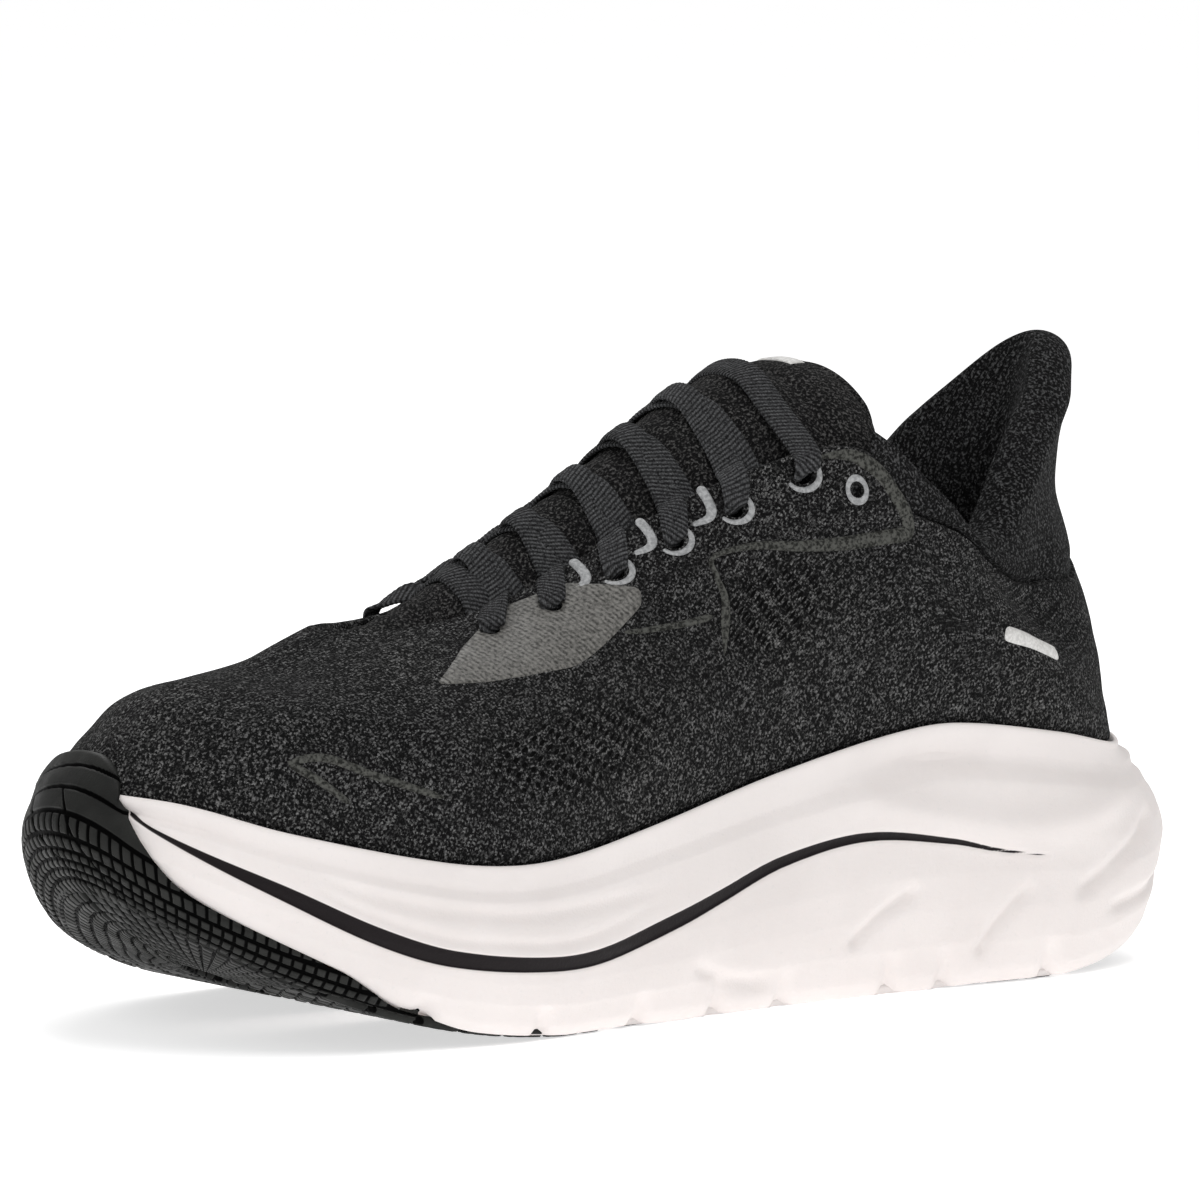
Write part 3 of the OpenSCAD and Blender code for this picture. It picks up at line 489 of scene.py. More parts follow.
def add_bumper(along=760, up=110):
    """The rubber wrapped up over the toe's tip and a little under it, cut into rows of slats and squares."""
    s = np.linspace(-3.4, 3.3, along)
    under_part = 0.25                              # the rows under the sole, as a share of those above
    t = np.linspace(-under_part, 1, up)
    top_q = curve(BUMPER_TOP, s) * smooth(s, -3.4, -2.9) * smooth(s, 3.3, 2.7)
    base = toe_point(s[:, None], 0.01 + (top_q - 0.01)[:, None] * np.maximum(t, 0))
    below = np.clip(-t / under_part, 0, 1) * (0.005 + 0.1 * smooth(np.abs(s), 2.9, 2.2)[:, None])
    under = under_point(side_point(s[:, None], 0 * t), 1 - below, RUBBER_T)
    base = np.where(t[:, None] < 0, under, base)
    soft = np.hanning(43) / np.hanning(43).sum()
    before, after = 2 * base[:, :1] - base[:, 21:0:-1], 2 * base[:, -1:] - base[:, -2:-23:-1]
    spread = np.concatenate([before, base, after], 1)
    base = np.apply_along_axis(lambda line: np.convolve(line, soft, "valid"), 1, spread)
    run = (edge_mm(s) * np.sign(s))[:, None] + 0 * t
    rise = lengths(base, 1) / MM
    top = rise[:, -1:]
    foot_rise = rise[:, [int(up * 0.2)]]
    face = rise - foot_rise                       # height up the rubber from the sole's lower edge
    rows = np.maximum.reduce([groove(face - k, ONCE, 0.85) for k in ROW_CUTS])
    in_slats = smooth(face, SLATS[0] - 0.2, SLATS[0] + 0.2)
    slats = groove(run + 0.18 * face, 2.5, 0.75) * in_slats * smooth(face, SLATS[1] + 0.1, SLATS[1] - 0.1)
    squares = groove(run, 2.5, 0.75) * smooth(face, SLATS[0] + 0.2, SLATS[0] - 0.2)
    long_cut = np.maximum.reduce([groove(run + 0.9 * face - k, ONCE, 0.9) for k in LONG_CUTS])
    long_cut = long_cut * smooth(face, 17.5, 17.2)
    cut = np.maximum.reduce([0.65 * rows, 0.5 * slats, 0.55 * squares, 0.6 * long_cut])
    gap = np.minimum(np.minimum(rise, top - rise), np.minimum(run - run[:1], run[-1:] - run))
    depth = ring_round(BUMPER_T - cut, gap, 1.6)
    w = wall_plane(s)
    inner, outer = moved_in(base, w, -0.6), moved_in(base, w, -0.6 - depth)
    # the cut attribute also tells the rubber's material where to paint shade in the grooves
    piece = add_rings("toe_bumper_rubber", both(inner, outer), cut=both(0 * cut, cut / CUT_DEPTH))
    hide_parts("toe_bumper")
    return piece


def running(line):
    """Running length along a line of points."""
    return np.concatenate([[0], np.cumsum(np.linalg.norm(np.diff(line, axis=0), axis=1))])


def add_tread(name, s0, s1, inset, reach, along=420, across=70):
    """A rubber pad under the sole, from its edge in towards the spine: squares at the toe, lugs behind."""
    s = np.linspace(s0, s1, along)
    f = np.linspace(1, reach, across)
    p = drawn_in(s, inset)
    run = running(p)[:, None] + 0 * f
    low = np.stack([under_point(p, k, 0) for k in f], 1)
    inward = np.linalg.norm(low[..., :2] - low[:, :1, :2], axis=-1)
    toe = smooth(folded(s), 2.7, 2.4)[:, None]
    fine = 0.45 * groove(run - 0.6 * inward, 3.6, 0.8) * smooth(inward, 1, 2)
    cuts = [1.2 * groove(run + 0.45 * inward, 11, 1.7), 1.2 * groove(inward - 3, 15, 1.5)]
    lugs = np.maximum.reduce([*cuts, fine])
    squares = CUT_DEPTH * np.maximum(groove(run, 3.2, 0.8), groove(inward - 1.2, 3.2, 0.8))
    cut = mix(lugs, squares, toe)
    gap = np.minimum(np.minimum(inward, inward[:, -1:] - inward), np.minimum(run, run[-1:] - run))
    bottom = low.copy()
    bottom[..., 2] += np.maximum(cut, 1.1 * (1 - ring_round(1, gap, 1.1)))
    top = low + [0, 0, RUBBER_T - 0.15]
    # the cut attribute also tells the rubber's material where to paint shade in the grooves
    piece = add_rings(name + "_rubber", both(bottom, top), cut=both(cut / CUT_DEPTH, 0 * cut))
    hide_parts(name)
    return piece


# The rubber pads: first and last station, inset from the edge in mm, and how near to the spine they reach.
PADS = {
    "forefoot_medial": (-0.04, 4.72, 6.2, 0.15), "forefoot_lateral": (17.35, 21.88, 6.2, 0.15),
    "heel_rear": (8.15, 13.85, 8, 0.62), "ball_medial": (4.87, 6.2, 7, 0.1),
    "ball_lateral": (15.8, 17.2, 7, 0.1), "heel_medial": (6.95, 8, 7, 0.37),
    "heel_lateral": (14, 15.1, 7, 0.37)}


def add_toe_puff():
    """The stiffener inside the toe box."""
    s = np.linspace(-2.25, 2.5, 90)
    top = 1.5 + 0.9 * (1 - np.abs((s - 0.1) / 2.45)**2)
    v = mix(0.4, top[:, None], np.linspace(0, 1, 30))
    inner, outer = wall(s[:, None], v, KNIT_T + 1.7), wall(s[:, None], v, KNIT_T + 0.9)
    piece = add_rings("toe_puff_sheet", both(inner, outer))
    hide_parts("toe_puff")
    return piece


# ---- the upper ----
# The openly knitted zones: middle (station, row) and half size.
MESH_ZONES = [(5.95, 2.55, 0.5, 0.42), (4.1, 1.95, 0.85, 0.42), (16.05, 2.55, 0.5, 0.42),
              (17.9, 1.95, 0.85, 0.42)]


def skin_top(s):
    """Row of the knit's upper edge: the throat's edge, then down under the collar's seam."""
    k = folded(s)
    return mix(4, knit_top(s), smooth(k, 7.18, 7.5))


def open_mesh(s, v):
    """How openly knitted the upper is at a place, 0 to 1."""
    zone = [1.3 - np.hypot((np.mod(s, STATIONS) - a) / c, (v - b) / d) for a, b, c, d in MESH_ZONES]
    return smooth(np.maximum.reduce(zone), 0, 0.6)


def skin_relief(s, v, points):
    """How far the knit stands out from the plain wall, in mm."""
    k = folded(s)
    tucked = np.exp(-np.maximum(v - 1, 0) / 0.035)
    ribs = np.sin(2 * np.pi * (v * 2.2 + 0.16 * k)) * smooth(v, 1.15, 1.5) * smooth(v, 2.7, 2.2)
    stay = smooth(v, 2.78 + 0.04 * k, 2.86 + 0.04 * k) * smooth(k, 4.2, 4.6) * smooth(k, 7.3, 7.1)
    seam = smooth(v, skin_top(s) - 0.05, skin_top(s)) * smooth(k, 7.2, 7.6)
    made = -0.9 * tucked + 0.16 * ribs + 0.3 * stay - 1.3 * seam
    uneven = 0.35 * waves(points, 46, 2) * smooth(v, 1, 1.3)
    uneven = uneven + 0.12 * waves(points, 11, 3) * smooth(v, 1.1, 1.4)
    return made + uneven - 0.25 * open_mesh(s, v)


def skin_at(s, v, inner):
    """The knit's outer face, or its inner face, at stations s and rows v."""
    plain = wall(s, v)
    relief = skin_relief(s, v, plain)
    thick = mix(KNIT_T, EYESTAY_T, smooth(v, 3.1, 3.3)) - np.maximum(0, -relief) * 0.6
    normal = face_normal(s, v)
    return plain + normal * (np.where(inner, -thick, relief))[..., None]


def eyelets():
    """Station, row and radius of every eyelet."""
    rows = [(k, v, EYELET_R) for k, v in zip(EYELETS, EYELET_ROWS)] + [(*SPARE, SPARE_R)]
    return [(on_side(k, g), v, r) for k, v, r in rows for g in (1, -1)]


def jacobian(s, v):
    """Millimetres along and up the wall for each station and row, at a place."""
    ps = (wall(s + EPS, v) - wall(s - EPS, v)) / (2 * EPS)
    pv = (wall(s, v + EPS) - wall(s, v - EPS)) / (2 * EPS)
    e1 = unit(ps)
    e2 = np.cross(unit(np.cross(ps, pv)), e1)
    return np.array([[ps @ e1, pv @ e1], [ps @ e2, pv @ e2]])


def around(s, v, xy):
    """Stations and rows of flat offsets in mm from a place on the wall."""
    step = np.linalg.solve(jacobian(s, v), np.asarray(xy, float).T)
    return s + step[0], v + step[1]


def add_skin(stations=792, rows=92):
    """The knitted upper: one skin from the fold under the rim to the throat and the collar, with eyelets."""
    s = (np.arange(stations) / stations * STATIONS + STATIONS / 2)[:, None]
    low = np.array([0, 0.3, 0.6, 0.85])
    t = np.linspace(0, 1, rows)
    v = np.concatenate([low + 0 * s, 1 + (skin_top(s) - 1) * t], 1)
    n, m = v.shape
    sg = np.broadcast_to(s, v.shape)
    outer, inner = skin_at(sg, v, False), skin_at(sg, v, True)
    out, under, up = outer[:, -1], inner[:, -1], unit(outer[:, -1] - outer[:, -3])
    a = np.radians([35, 90, 145])
    edge = np.stack([mix(out, under, 0.5 - 0.5 * math.cos(k)) + up * 0.8 * math.sin(k) for k in a], 1)
    rings = np.concatenate([outer, edge, inner[:, ::-1]], 1)
    width = rings.shape[1]
    run = lengths(outer, 0)
    # open_mesh marks the openly knitted zones, where the knit's material also paints shade into the pores
    grids = {"run": run - run[stations // 2], "rise": lengths(outer, 1), "open_mesh": open_mesh(sg, v)}
    grids = {key: np.concatenate([grid, grid[:, [-1] * 3], grid[:, ::-1]], 1) for key, grid in grids.items()}
    faces = quads(n, width, wrap_n=True, wrap_m=True)
    points, values = [rings.reshape(-1, 3)], {key: [grid.ravel()] for key, grid in grids.items()}
    count, dropped, extra = n * width, np.zeros(len(faces), bool), []
    half = 4                                       # an eyelet replaces a patch of 8 by 8 faces
    ci, cj = faces[:, 0] // width, faces[:, 0] % width
    for s0, v0, r in eyelets():
        i0 = int(round(((s0 - STATIONS / 2) % STATIONS) / STATIONS * stations)) % stations
        j0 = int(np.argmin(np.abs(v[i0] - v0)))
        k = np.arange(-half, half)
        side = np.full(2 * half, half)
        di, dj = np.concatenate([k, side, -k, -side]), np.concatenate([-side, k, side, -k])
        iw, jw = (i0 + di) % n, j0 + dj
        for j in (cj, width - 2 - cj):             # on the outer face and on the inner one
            dropped |= ((ci - i0 + half) % n < 2 * half) & (j >= j0 - half) & (j < j0 + half)
        ds = (sg[iw, jw] - s0 + STATIONS / 2) % STATIONS - STATIONS / 2
        flat = (jacobian(s0, v0) @ np.stack([ds, v[iw, jw] - v0])).T
        circle = flat / np.linalg.norm(flat, axis=1, keepdims=True) * r
        loops = [iw * width + jw]
        for inner_face in (False, True):
            for f in ((0.45, 0.8, 1) if not inner_face else (1, 0.8, 0.45)):
                ring_s, ring_v = around(s0, v0, mix(flat, circle, f))
                place = skin_at(ring_s, ring_v, inner_face)
                if f == 1:
                    place = mix(place, skin_at(ring_s, ring_v, not inner_face), 0.15)
                points.append(place)
                for key, grid in grids.items():
                    values[key].append(grid[iw, jw])
                loops.append(count + np.arange(len(iw)))
                count += len(iw)
        loops.append(iw * width + width - 1 - jw)
        for one, two in zip(loops[:-1], loops[1:]):
            extra.append(np.stack([one, np.roll(one, -1), np.roll(two, -1), two], -1))
    faces = np.concatenate([faces[~dropped]] + extra)
    used = np.unique(faces)
    number = np.full(count, -1)
    number[used] = np.arange(len(used))
    piece = add_mesh("upper_skin", np.concatenate(points)[used], number[faces],
                     **{key: np.concatenate(value)[used] for key, value in values.items()})
    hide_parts("upper_knit", "eyestay_medial", "eyestay_lateral")
    return piece


def plump(s):
    u = np.clip((s - COLLAR[0]) / (COLLAR[1] - COLLAR[0]), 0, 1)
    return 0.35 + 0.65 * np.sin(np.pi * u)**0.6


def collar_depth(s, v):
    """Depth of the collar's inside face; it thins into the eyestay at both ends."""
    grown = smooth(folded(s), 7.35, 8.1)
    return mix(2.0, LINING_DEPTH + PADDING_T * plump(s) * smooth(v, 1.7, 3.2), grown)


def add_collar(stations=430):
    """The padded collar's textile: up from its seam, over the soft edge and down the lining to the bed."""
    s = np.linspace(7.24, 14.76, stations)[:, None]
    grown = smooth(folded(s), 7.3, 7.9)
    depth4 = collar_depth(s, 4)
    row_mm = np.linalg.norm(at(OPENING, s) - rim(s), axis=-1) / 3
    lift = 0.8 * np.minimum(depth4 / 2, 5) / row_mm
    # The padding swells up beside the tongue.
    proud = 0.4 * smooth(folded(s), 7.2, 7.42) * smooth(folded(s), 8.55, 7.55)
    v1 = 4 + proud - lift
    v0 = np.minimum(knit_top(s) + 0.01, v1 - 0.03)
    t = np.linspace(0, 1, 46)[None]
    a = np.linspace(0, np.pi, 26)[None, 1:]
    swell = np.sin(np.pi * np.clip(t * 1.15, 0, 1))**0.7 * smooth(t, 0, 0.12)
    out_d = mix(0.45, mix(1.3, -0.35, smooth(t, 0, 0.1)) - 0.7 * swell, grown)
    in_v = mix(v1 - 0.02, 0.3, np.linspace(0, 1, 60)[None, 1:])
    v = np.concatenate([mix(v0, v1, t), v1 + lift * np.sin(a), in_v], 1)
    first = out_d[:, -1:]
    d = np.concatenate([out_d, mix(first, depth4, (1 - np.cos(a)) / 2), collar_depth(s, in_v)], 1)
    sg = np.broadcast_to(s, v.shape)
    plain = wall(sg, v)
    soft = smooth(folded(sg), 7.5, 8.2) * smooth(v, 1, 1.6)
    d = d - soft * (0.55 * waves(plain, 30, 5) + 0.25 * waves(plain, 13, 6))
    outer = wall(sg, v, d)
    w = wall_plane(s[:, 0])
    inner = moved_in(outer, w, COLLAR_SKIN)
    run, rise = lengths(outer, 0), lengths(outer, 1)
    piece = add_rings("collar_padding", both(inner, outer), run=both(run), rise=both(rise))
    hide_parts("collar_cover")
    return piece


def in_outline(x, y, outline):
    """Whether points lie inside a closed outline."""
    inside = np.zeros(x.shape, bool)
    for a, b in zip(outline, np.roll(outline, -1, 0)):
        crosses = (a[1] > y) != (b[1] > y)
        inside ^= crosses & (x < (b[0] - a[0]) * (y - a[1]) / (b[1] - a[1] + 1e-12) + a[0])
    return inside


def evenly(outline, step, closed=True):
    """The outline with a point every step."""
    p = np.concatenate([outline, outline[:1]]) if closed else np.asarray(outline, float)
    far = running(p)
    count = max(8, int(far[-1] / step))
    marks = np.linspace(0, far[-1], count, endpoint=not closed)
    return np.stack([np.interp(marks, far, p[:, i]) for i in range(p.shape[1])], -1)


def rounded(corners, radius, parts=8):
    """A polygon with its corners rounded."""
    c = np.array(corners, float)
    before, after = unit(np.roll(c, 1, 0) - c), unit(np.roll(c, -1, 0) - c)
    f = np.linspace(0, 1, parts)[None, :, None]
    a, b = c + before * radius, c + after * radius
    return (a[:, None] * (1 - f)**2 + 2 * c[:, None] * f * (1 - f) + b[:, None] * f**2).reshape(-1, 2)


def edge_gap(x, y, loops):
    """Distance from points to the nearest of some closed outlines."""
    return np.min([near_line(x, y, np.concatenate([q, q[:1]]))[0] for q in loops], axis=0)


def between(x, y, loops):
    """Whether points lie inside the first outline and outside the others."""
    ok = in_outline(x, y, loops[0])
    for q in loops[1:]:
        ok &= ~in_outline(x, y, q)
    return ok


def flat_mesh(loops, grain):
    """An even mesh of triangles inside the first outline and outside the others."""
    lo, hi = loops[0].min(0), loops[0].max(0)
    gx, gy = np.meshgrid(np.arange(lo[0], hi[0], grain), np.arange(lo[1], hi[1], grain), indexing="ij")
    keep = (edge_gap(gx, gy, loops) > grain * 0.45) & between(gx, gy, loops)
    verts = np.concatenate([*loops, np.stack([gx[keep], gy[keep]], -1)])
    edges, start = [], 0
    for q in loops:
        edges += [(start + a, start + (a + 1) % len(q)) for a in range(len(q))]
        start += len(q)
    out = delaunay_2d_cdt([Vector(p) for p in verts], edges, [], 0, 1e-5)
    flat = np.array([tuple(p) for p in out[0]])
    tris = np.array([f for f in out[2] if len(f) == 3])
    return flat, tris[between(*flat[tris].mean(1).T, loops)]


def add_layer(name, shapes, height, replaced, grain=0.9):
    """Thin bonded shapes on the wall. A shape is its place, its flat outline in mm and its round holes."""
    points, faces, count = [], [], 0
    turn = np.linspace(0, 2 * np.pi, 24, endpoint=False)
    circle = np.stack([np.cos(turn), np.sin(turn)], -1)
    for (s0, v0), outline, holes in shapes:
        loops = [evenly(np.asarray(outline, float), grain * 0.6)]
        loops += [np.array(c) + r * circle for c, r in holes]
        flat, tris = flat_mesh(loops, grain)
        s, v = around(s0, v0, flat)
        relief = skin_relief(s, v, wall(s, v))
        domed = mix(0.45, 1, smooth(edge_gap(*flat.T, loops), 0, 0.6))
        top = off_wall(s, v, -relief - height * domed)
        bottom = off_wall(s, v, 0.25 - relief)
        ring = np.concatenate([tris[:, [0, 1]], tris[:, [1, 2]], tris[:, [2, 0]]]).tolist()
        twin = {tuple(e) for e in ring}
        ring = np.array([e for e in ring if (e[1], e[0]) not in twin])
        n = len(flat)
        walls = np.stack([ring[:, 1], ring[:, 0], ring[:, 0] + n, ring[:, 1] + n], -1)
        normal = np.cross(top[tris[:, 1]] - top[tris[:, 0]], top[tris[:, 2]] - top[tris[:, 0]])
        flip = np.sum(normal * face_normal(s, v)[tris[:, 0]]) < 0
        for group in (tris, tris[:, ::-1] + n, walls):
            faces += ((group[:, ::-1] if flip else group) + count).tolist()
        points += [top, bottom]
        count += 2 * n
    piece = add_mesh(name, np.concatenate(points), faces)
    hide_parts(*replaced)
    return piece


def stroke(line, width):
    """The outline of a line drawn with a round pen; width is a list of widths along it."""
    p = evenly(through(line, 10), 0.4, closed=False)
    d = unit(np.gradient(p, axis=0))
    side = np.stack([-d[:, 1], d[:, 0]], -1)
    w = np.interp(np.linspace(0, 1, len(p)), np.linspace(0, 1, len(width)), width)
    a = np.linspace(0, np.pi, 9)[1:-1, None]
    tip = p[-1] + (np.cos(a) * side[-1] + np.sin(a) * d[-1]) * w[-1] / 2
    tail = p[0] - (np.cos(a) * side[0] + np.sin(a) * d[0]) * w[0] / 2
    return np.concatenate([p + side * w[:, None] / 2, tip, (p - side * w[:, None] / 2)[::-1], tail])


def turned(xy, g):
    """A flat shape for one side of the shoe: x points to the heel on both."""
    return np.asarray(xy, float) * (g, 1)


def arc(radius_x, radius_y, start, end, count, closed=False):
    """Points on an oval between two angles in degrees."""
    a = np.radians(np.linspace(start, end, count, endpoint=not closed))
    return np.stack([radius_x * np.cos(a), radius_y * np.sin(a)], -1)


BOW = arc(3.9, 3.5, -158, 22, 16)                 # round the lower heel side of an eyelet
OVAL = arc(2.9, 3.4, 0, 360, 40, closed=True)     # round the spare eyelet
HOOK = [(3.4, 4.0), (3.3, 1.6), (2.6, -1.0), (0.8, -2.4), (-2.6, -2.2)]
HOOKS = (4.06, 4.83, 5.48)                        # stations of the hooks at the throat's edge
HOOK_ROW = 3.81
HEEL_BAR = ((8.2, 2.16), 10.5, 1.6)               # its place, half length and half width in mm
PANEL = np.array([(2.55, 2.8), (3.95, 2.79), (4.68, 3.14), (4.7, 3.32), (3.95, 3.84), (3, 3.92), (2.68, 3.4)])
PANEL_CENTRE = (3.65, 3.28)
PRINT_T = 0.22
BAR_T = 0.5


def add_prints():
    """Grey bows and hooks by the eyelets, bars at the heel and reflective panels by the toe laces."""
    (bar_s, bar_v), length, width = HEEL_BAR
    bar = rounded([(-length, -width), (length, -width), (length, width), (-length, width)], 1.4)
    for g, side in ((1, "medial"), (-1, "lateral")):
        bow = turned(stroke(BOW, [0.9, 1.5, 1.1]), g)
        hook = turned(stroke(HOOK, [2.4, 2.2, 1.2]), g)
        shapes = [((on_side(k, g), v), bow, []) for k, v in zip(EYELETS[2:], EYELET_ROWS[2:])]
        shapes += [((on_side(k, g), HOOK_ROW), hook, []) for k in HOOKS]
        shapes += [((on_side(SPARE[0], g), SPARE[1]), turned(OVAL, g), [((0, 0), SPARE_R + 0.1)])]
        add_layer("eyelet_print_" + side, shapes, PRINT_T, ["eyelet_rings_" + side], 0.5)
        add_layer("heel_bar_" + side, [((on_side(bar_s, g), bar_v), turned(bar, g), [])], BAR_T,
                  ["heel_flash_" + side])
        centre = (on_side(PANEL_CENTRE[0], g), PANEL_CENTRE[1])
        jac = jacobian(*centre)
        flat = (jac @ (np.stack([on_side(PANEL[:, 0], g), PANEL[:, 1]], -1) - centre).T).T
        holes = [(jac @ (np.array([on_side(k, g), v]) - centre), EYELET_R + 0.1)
                 for k, v in zip(EYELETS[:2], EYELET_ROWS)]
        add_layer("side_panel_" + side, [(centre, rounded(flat, 1.6), holes)], PRINT_T,
                  ["side_patch_" + side])


def add_ridge(name, lines, replaced=()):
    """Low rounded ridges on the wall. A line has (station, row, half width) points and a height in mm."""
    points, faces, count = [], [], 0
    for route, height in lines:
        p = evenly(through(route, 12) * (25, 25, 1), 0.8, closed=False) / (25, 25, 1)
        s, v, half = p.T
        n = face_normal(s, v)
        c = off_wall(s, v, -skin_relief(s, v, wall(s, v)))
        t = unit(np.gradient(c, axis=0))
        w = np.cross(n, t)
        far = np.linspace(0, 1, len(p))
        taper = np.sqrt(np.clip(np.minimum(far, 1 - far) * 14, 0.02, 1))[:, None, None]
        a = np.linspace(-1, 1, 17)[None, :, None]
        half = half[:, None, None] * taper
        dome = height * (1 - np.abs(a)**2.6) * taper
        top = c[:, None] + w[:, None] * a * half + n[:, None] * dome
        under = c[:, None] + w[:, None] * a[:, ::-1] * half - n[:, None] * 0.3
        rings = np.concatenate([top, under], 1)
        k, m = rings.shape[:2]
        ends = [cap(count, m, False), cap(count + (k - 1) * m, m, True)]
        faces.append(np.concatenate([quads(k, m, count, wrap_m=True), *ends])[:, ::-1])
        points.append(rings.reshape(-1, 3))
        count += k * m
    piece = add_mesh(name, np.concatenate(points), np.concatenate(faces))
    if replaced:
        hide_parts(*replaced)
    return piece


# Station, row and half width of the thin lines: two at the toe and one by the panel.
THIN_LINES = [[(1.9, 1.62, 0.9), (2.27, 1.53, 0.9), (2.58, 1.41, 0.7)],
              [(1.9, 1.62, 0.9), (2.12, 1.73, 0.9), (2.6, 1.66, 0.9), (3.16, 1.57, 0.7)],
              [(4.46, 2.96, 0.6), (5.01, 2.78, 0.8), (5.42, 2.7, 0.8)]]


def add_trim():
    """The piping and the thin lines, on both sides."""
    for g, side in ((1, "medial"), (-1, "lateral")):
        def placed(line):
            return [(on_side(s, g), v, half) for s, v, half in line]
        add_ridge("piping_band_" + side, [(placed(PIPING), 0.6)], ["piping_" + side])
        add_ridge("toe_lines_" + side, [(placed(line), 0.4) for line in THIN_LINES])


# ---- the tongue ----
ROOT_X, TIP_X = -35, -62                          # where the padded end starts, and its tip


def tongue_side(k, g):
    return off_wall(on_side(k, g), 4, TONGUE_DEPTH)


def arch(k, f):
    k, f = np.broadcast_arrays(np.asarray(k, float), np.asarray(f, float))
    flat = mix(tongue_side(k, -1), tongue_side(k, 1), (f[..., None] + 1) / 2)
    return flat + xyz(0, 0, curve(TONGUE_LIFT, k) * (1 - f * f))


def arch_normal(k, f):
    return unit(np.cross(arch(k, f + 0.02) - arch(k, f - 0.02), arch(k + 0.05, f) - arch(k - 0.05, f)))


def top_column(c, x):
    return curve([(p[0], p[c]) for p in TONGUE_TOP], x)


def top_z(x, f):
    return top_column(1, x) - (top_column(1, x) - top_column(3, x)) * np.abs(f)**2.2


def tongue_surface():
    """The tongue's upper face and its thickness: rows run from the root to the padded end."""
    across = np.linspace(-1, 1, 57)
    wings = np.linspace(1, 0.2, 6)
    sections, thick = [], []
    for k in np.linspace(0.5, 6.62, 24):
        wing = min(0.7, 0.17 * k)
        left = off_wall(on_side(k, -1), 4 - wing * wings, TONGUE_DEPTH + 0.9 * wings)
        right = off_wall(k, 4 - wing * wings[::-1], TONGUE_DEPTH + 0.9 * wings[::-1])
        sections.append(np.concatenate([left, arch(k, across), right]))
        thick.append(TONGUE_T)
    m = len(sections[0])
    f = np.linspace(-1, 1, m)
    f = np.sign(f) * np.abs(f)**0.85
    for t in np.linspace(0.24, 1, 14):
        x = mix(ROOT_X, TIP_X, t)
        narrow = math.sqrt(1 - max(0, (t - 0.58) / 0.6)**2.6)
        y = f * top_column(2, x) * narrow
        sections.append(xyz(x + 3 * (1 - narrow) * f**2, y, top_z(x, f * narrow)))
        thick.append(TONGUE_T * (0.95 + 0.8 * math.sin(math.pi * min(t, 0.95))))
    upper = through(np.array(sections).reshape(len(sections), -1), 6).reshape(-1, m, 3)
    thick = through(np.array(thick)[:, None], 6)
    return upper, thick + 0 * f


def add_tongue():
    """The tongue: a thin padded body under the laces and a thicker rounded end."""
    upper, thick = tongue_surface()
    far = lengths(upper, 0) / MM
    end = far[-1:] - far
    side = lengths(upper, 1) / MM
    edge = np.minimum(side, side[:, -1:] - side)
    normal = unit(np.cross(np.gradient(upper, axis=1), np.gradient(upper, axis=0)))
    normal *= np.sign(normal[..., 2].mean())
    at_top = smooth(upper[..., 0], -38, -48)
    puff = 0.9 * at_top * smooth(edge, 1, 9) * smooth(end, 1, 7)
    binding = -0.9 * np.exp(-((end - 7.5) / 0.9)**2) * at_top
    ribbed = 0.22 * np.sin(far * 2 * np.pi / 7.5) * (1 - at_top) * smooth(edge, 3, 8)
    uneven = 0.3 * waves(upper, 24, 8)
    gap = np.minimum(edge, end)
    half = ring_round(thick / 2, gap, np.minimum(thick, 3.2) * mix(1, 1.3, at_top))
    top = upper + normal * (puff + binding + ribbed + uneven - thick / 2 + half)[..., None]
    bottom = upper - normal * (thick / 2 + half)[..., None]
    run, rise = lengths(upper, 1), lengths(upper, 0)
    piece = add_rings("tongue_padding", both(bottom, top), body=None, run=both(run), rise=both(rise))
    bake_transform(piece)
    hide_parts("tongue_body", "tongue_top")
    return piece


def add_label():
    """A plain light bar printed on the tongue's padded end."""
    middle, half_x, half_y = -49.5, 2, 5.8
    x = np.linspace(middle + half_x, middle - half_x, 16)[:, None]
    f = np.linspace(-0.2, 0.2, 50)[None]
    y = f * half_y / 0.2 * np.ones_like(x)
    inside = np.minimum(half_x - np.abs(x - middle), half_y - np.abs(y))
    raised = 1.2 + 0.3 * smooth(inside, 0, 0.5)
    low = xyz(x, y, top_z(x, f) + 0.7)
    high = xyz(x, y, top_z(x, f) + raised)
    piece = add_rings("tongue_mark", both(low, high), body="tongue_end")
    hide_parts("tongue_label")
    return piece


SOCK_TOE, SOCK_HEEL = 136, -120.5                 # the sockliner's ends


def add_sockliner():
    """The sockliner: a soft foam sheet with a textile top."""
    inset = FOLD + KNIT_T + GAP + 1.2 + COLLAR_SKIN + 1.9
    x = np.linspace(SOCK_TOE, SOCK_HEEL, 240)
    sides = []
    for g in (1, -1):
        s = on_side(np.linspace(0.02, 10.98, 500), g)
        q = drawn_in(s, rim_inset(s) + inset)
        order = np.argsort(q[:, 0])
        sides.append(np.interp(x, q[order, 0], q[order, 1]))
    f = np.linspace(0, 1, 60)
    y = mix(sides[1][:, None], sides[0][:, None], f)
    base = curve(BED, x)[:, None] + GAP + 1.5 + 0.4 + 0 * f
    low = xyz(x[:, None], y, base)
    to_end = np.minimum(SOCK_TOE - x, x - SOCK_HEEL)[:, None] + 0.4
    gap = np.minimum(np.minimum(y - y[:, :1], y[:, -1:] - y), to_end)
    top = 4.5 - 1.2 * (1 - ring_round(1, gap, 2.4)) + 0.12 * waves(low, 18, 9) * smooth(gap, 1, 6)
    run, rise = lengths(low, 0), lengths(low, 1)
    piece = add_rings("sockliner_sheet", np.concatenate([low[:, ::-1], low + xyz(0, 0, top)], 1), body=None,
                      run=np.concatenate([run, run], 1), rise=both(rise[:, ::-1]))
    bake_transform(piece)
    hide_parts("sockliner_front", "sockliner_heel")
    return piece


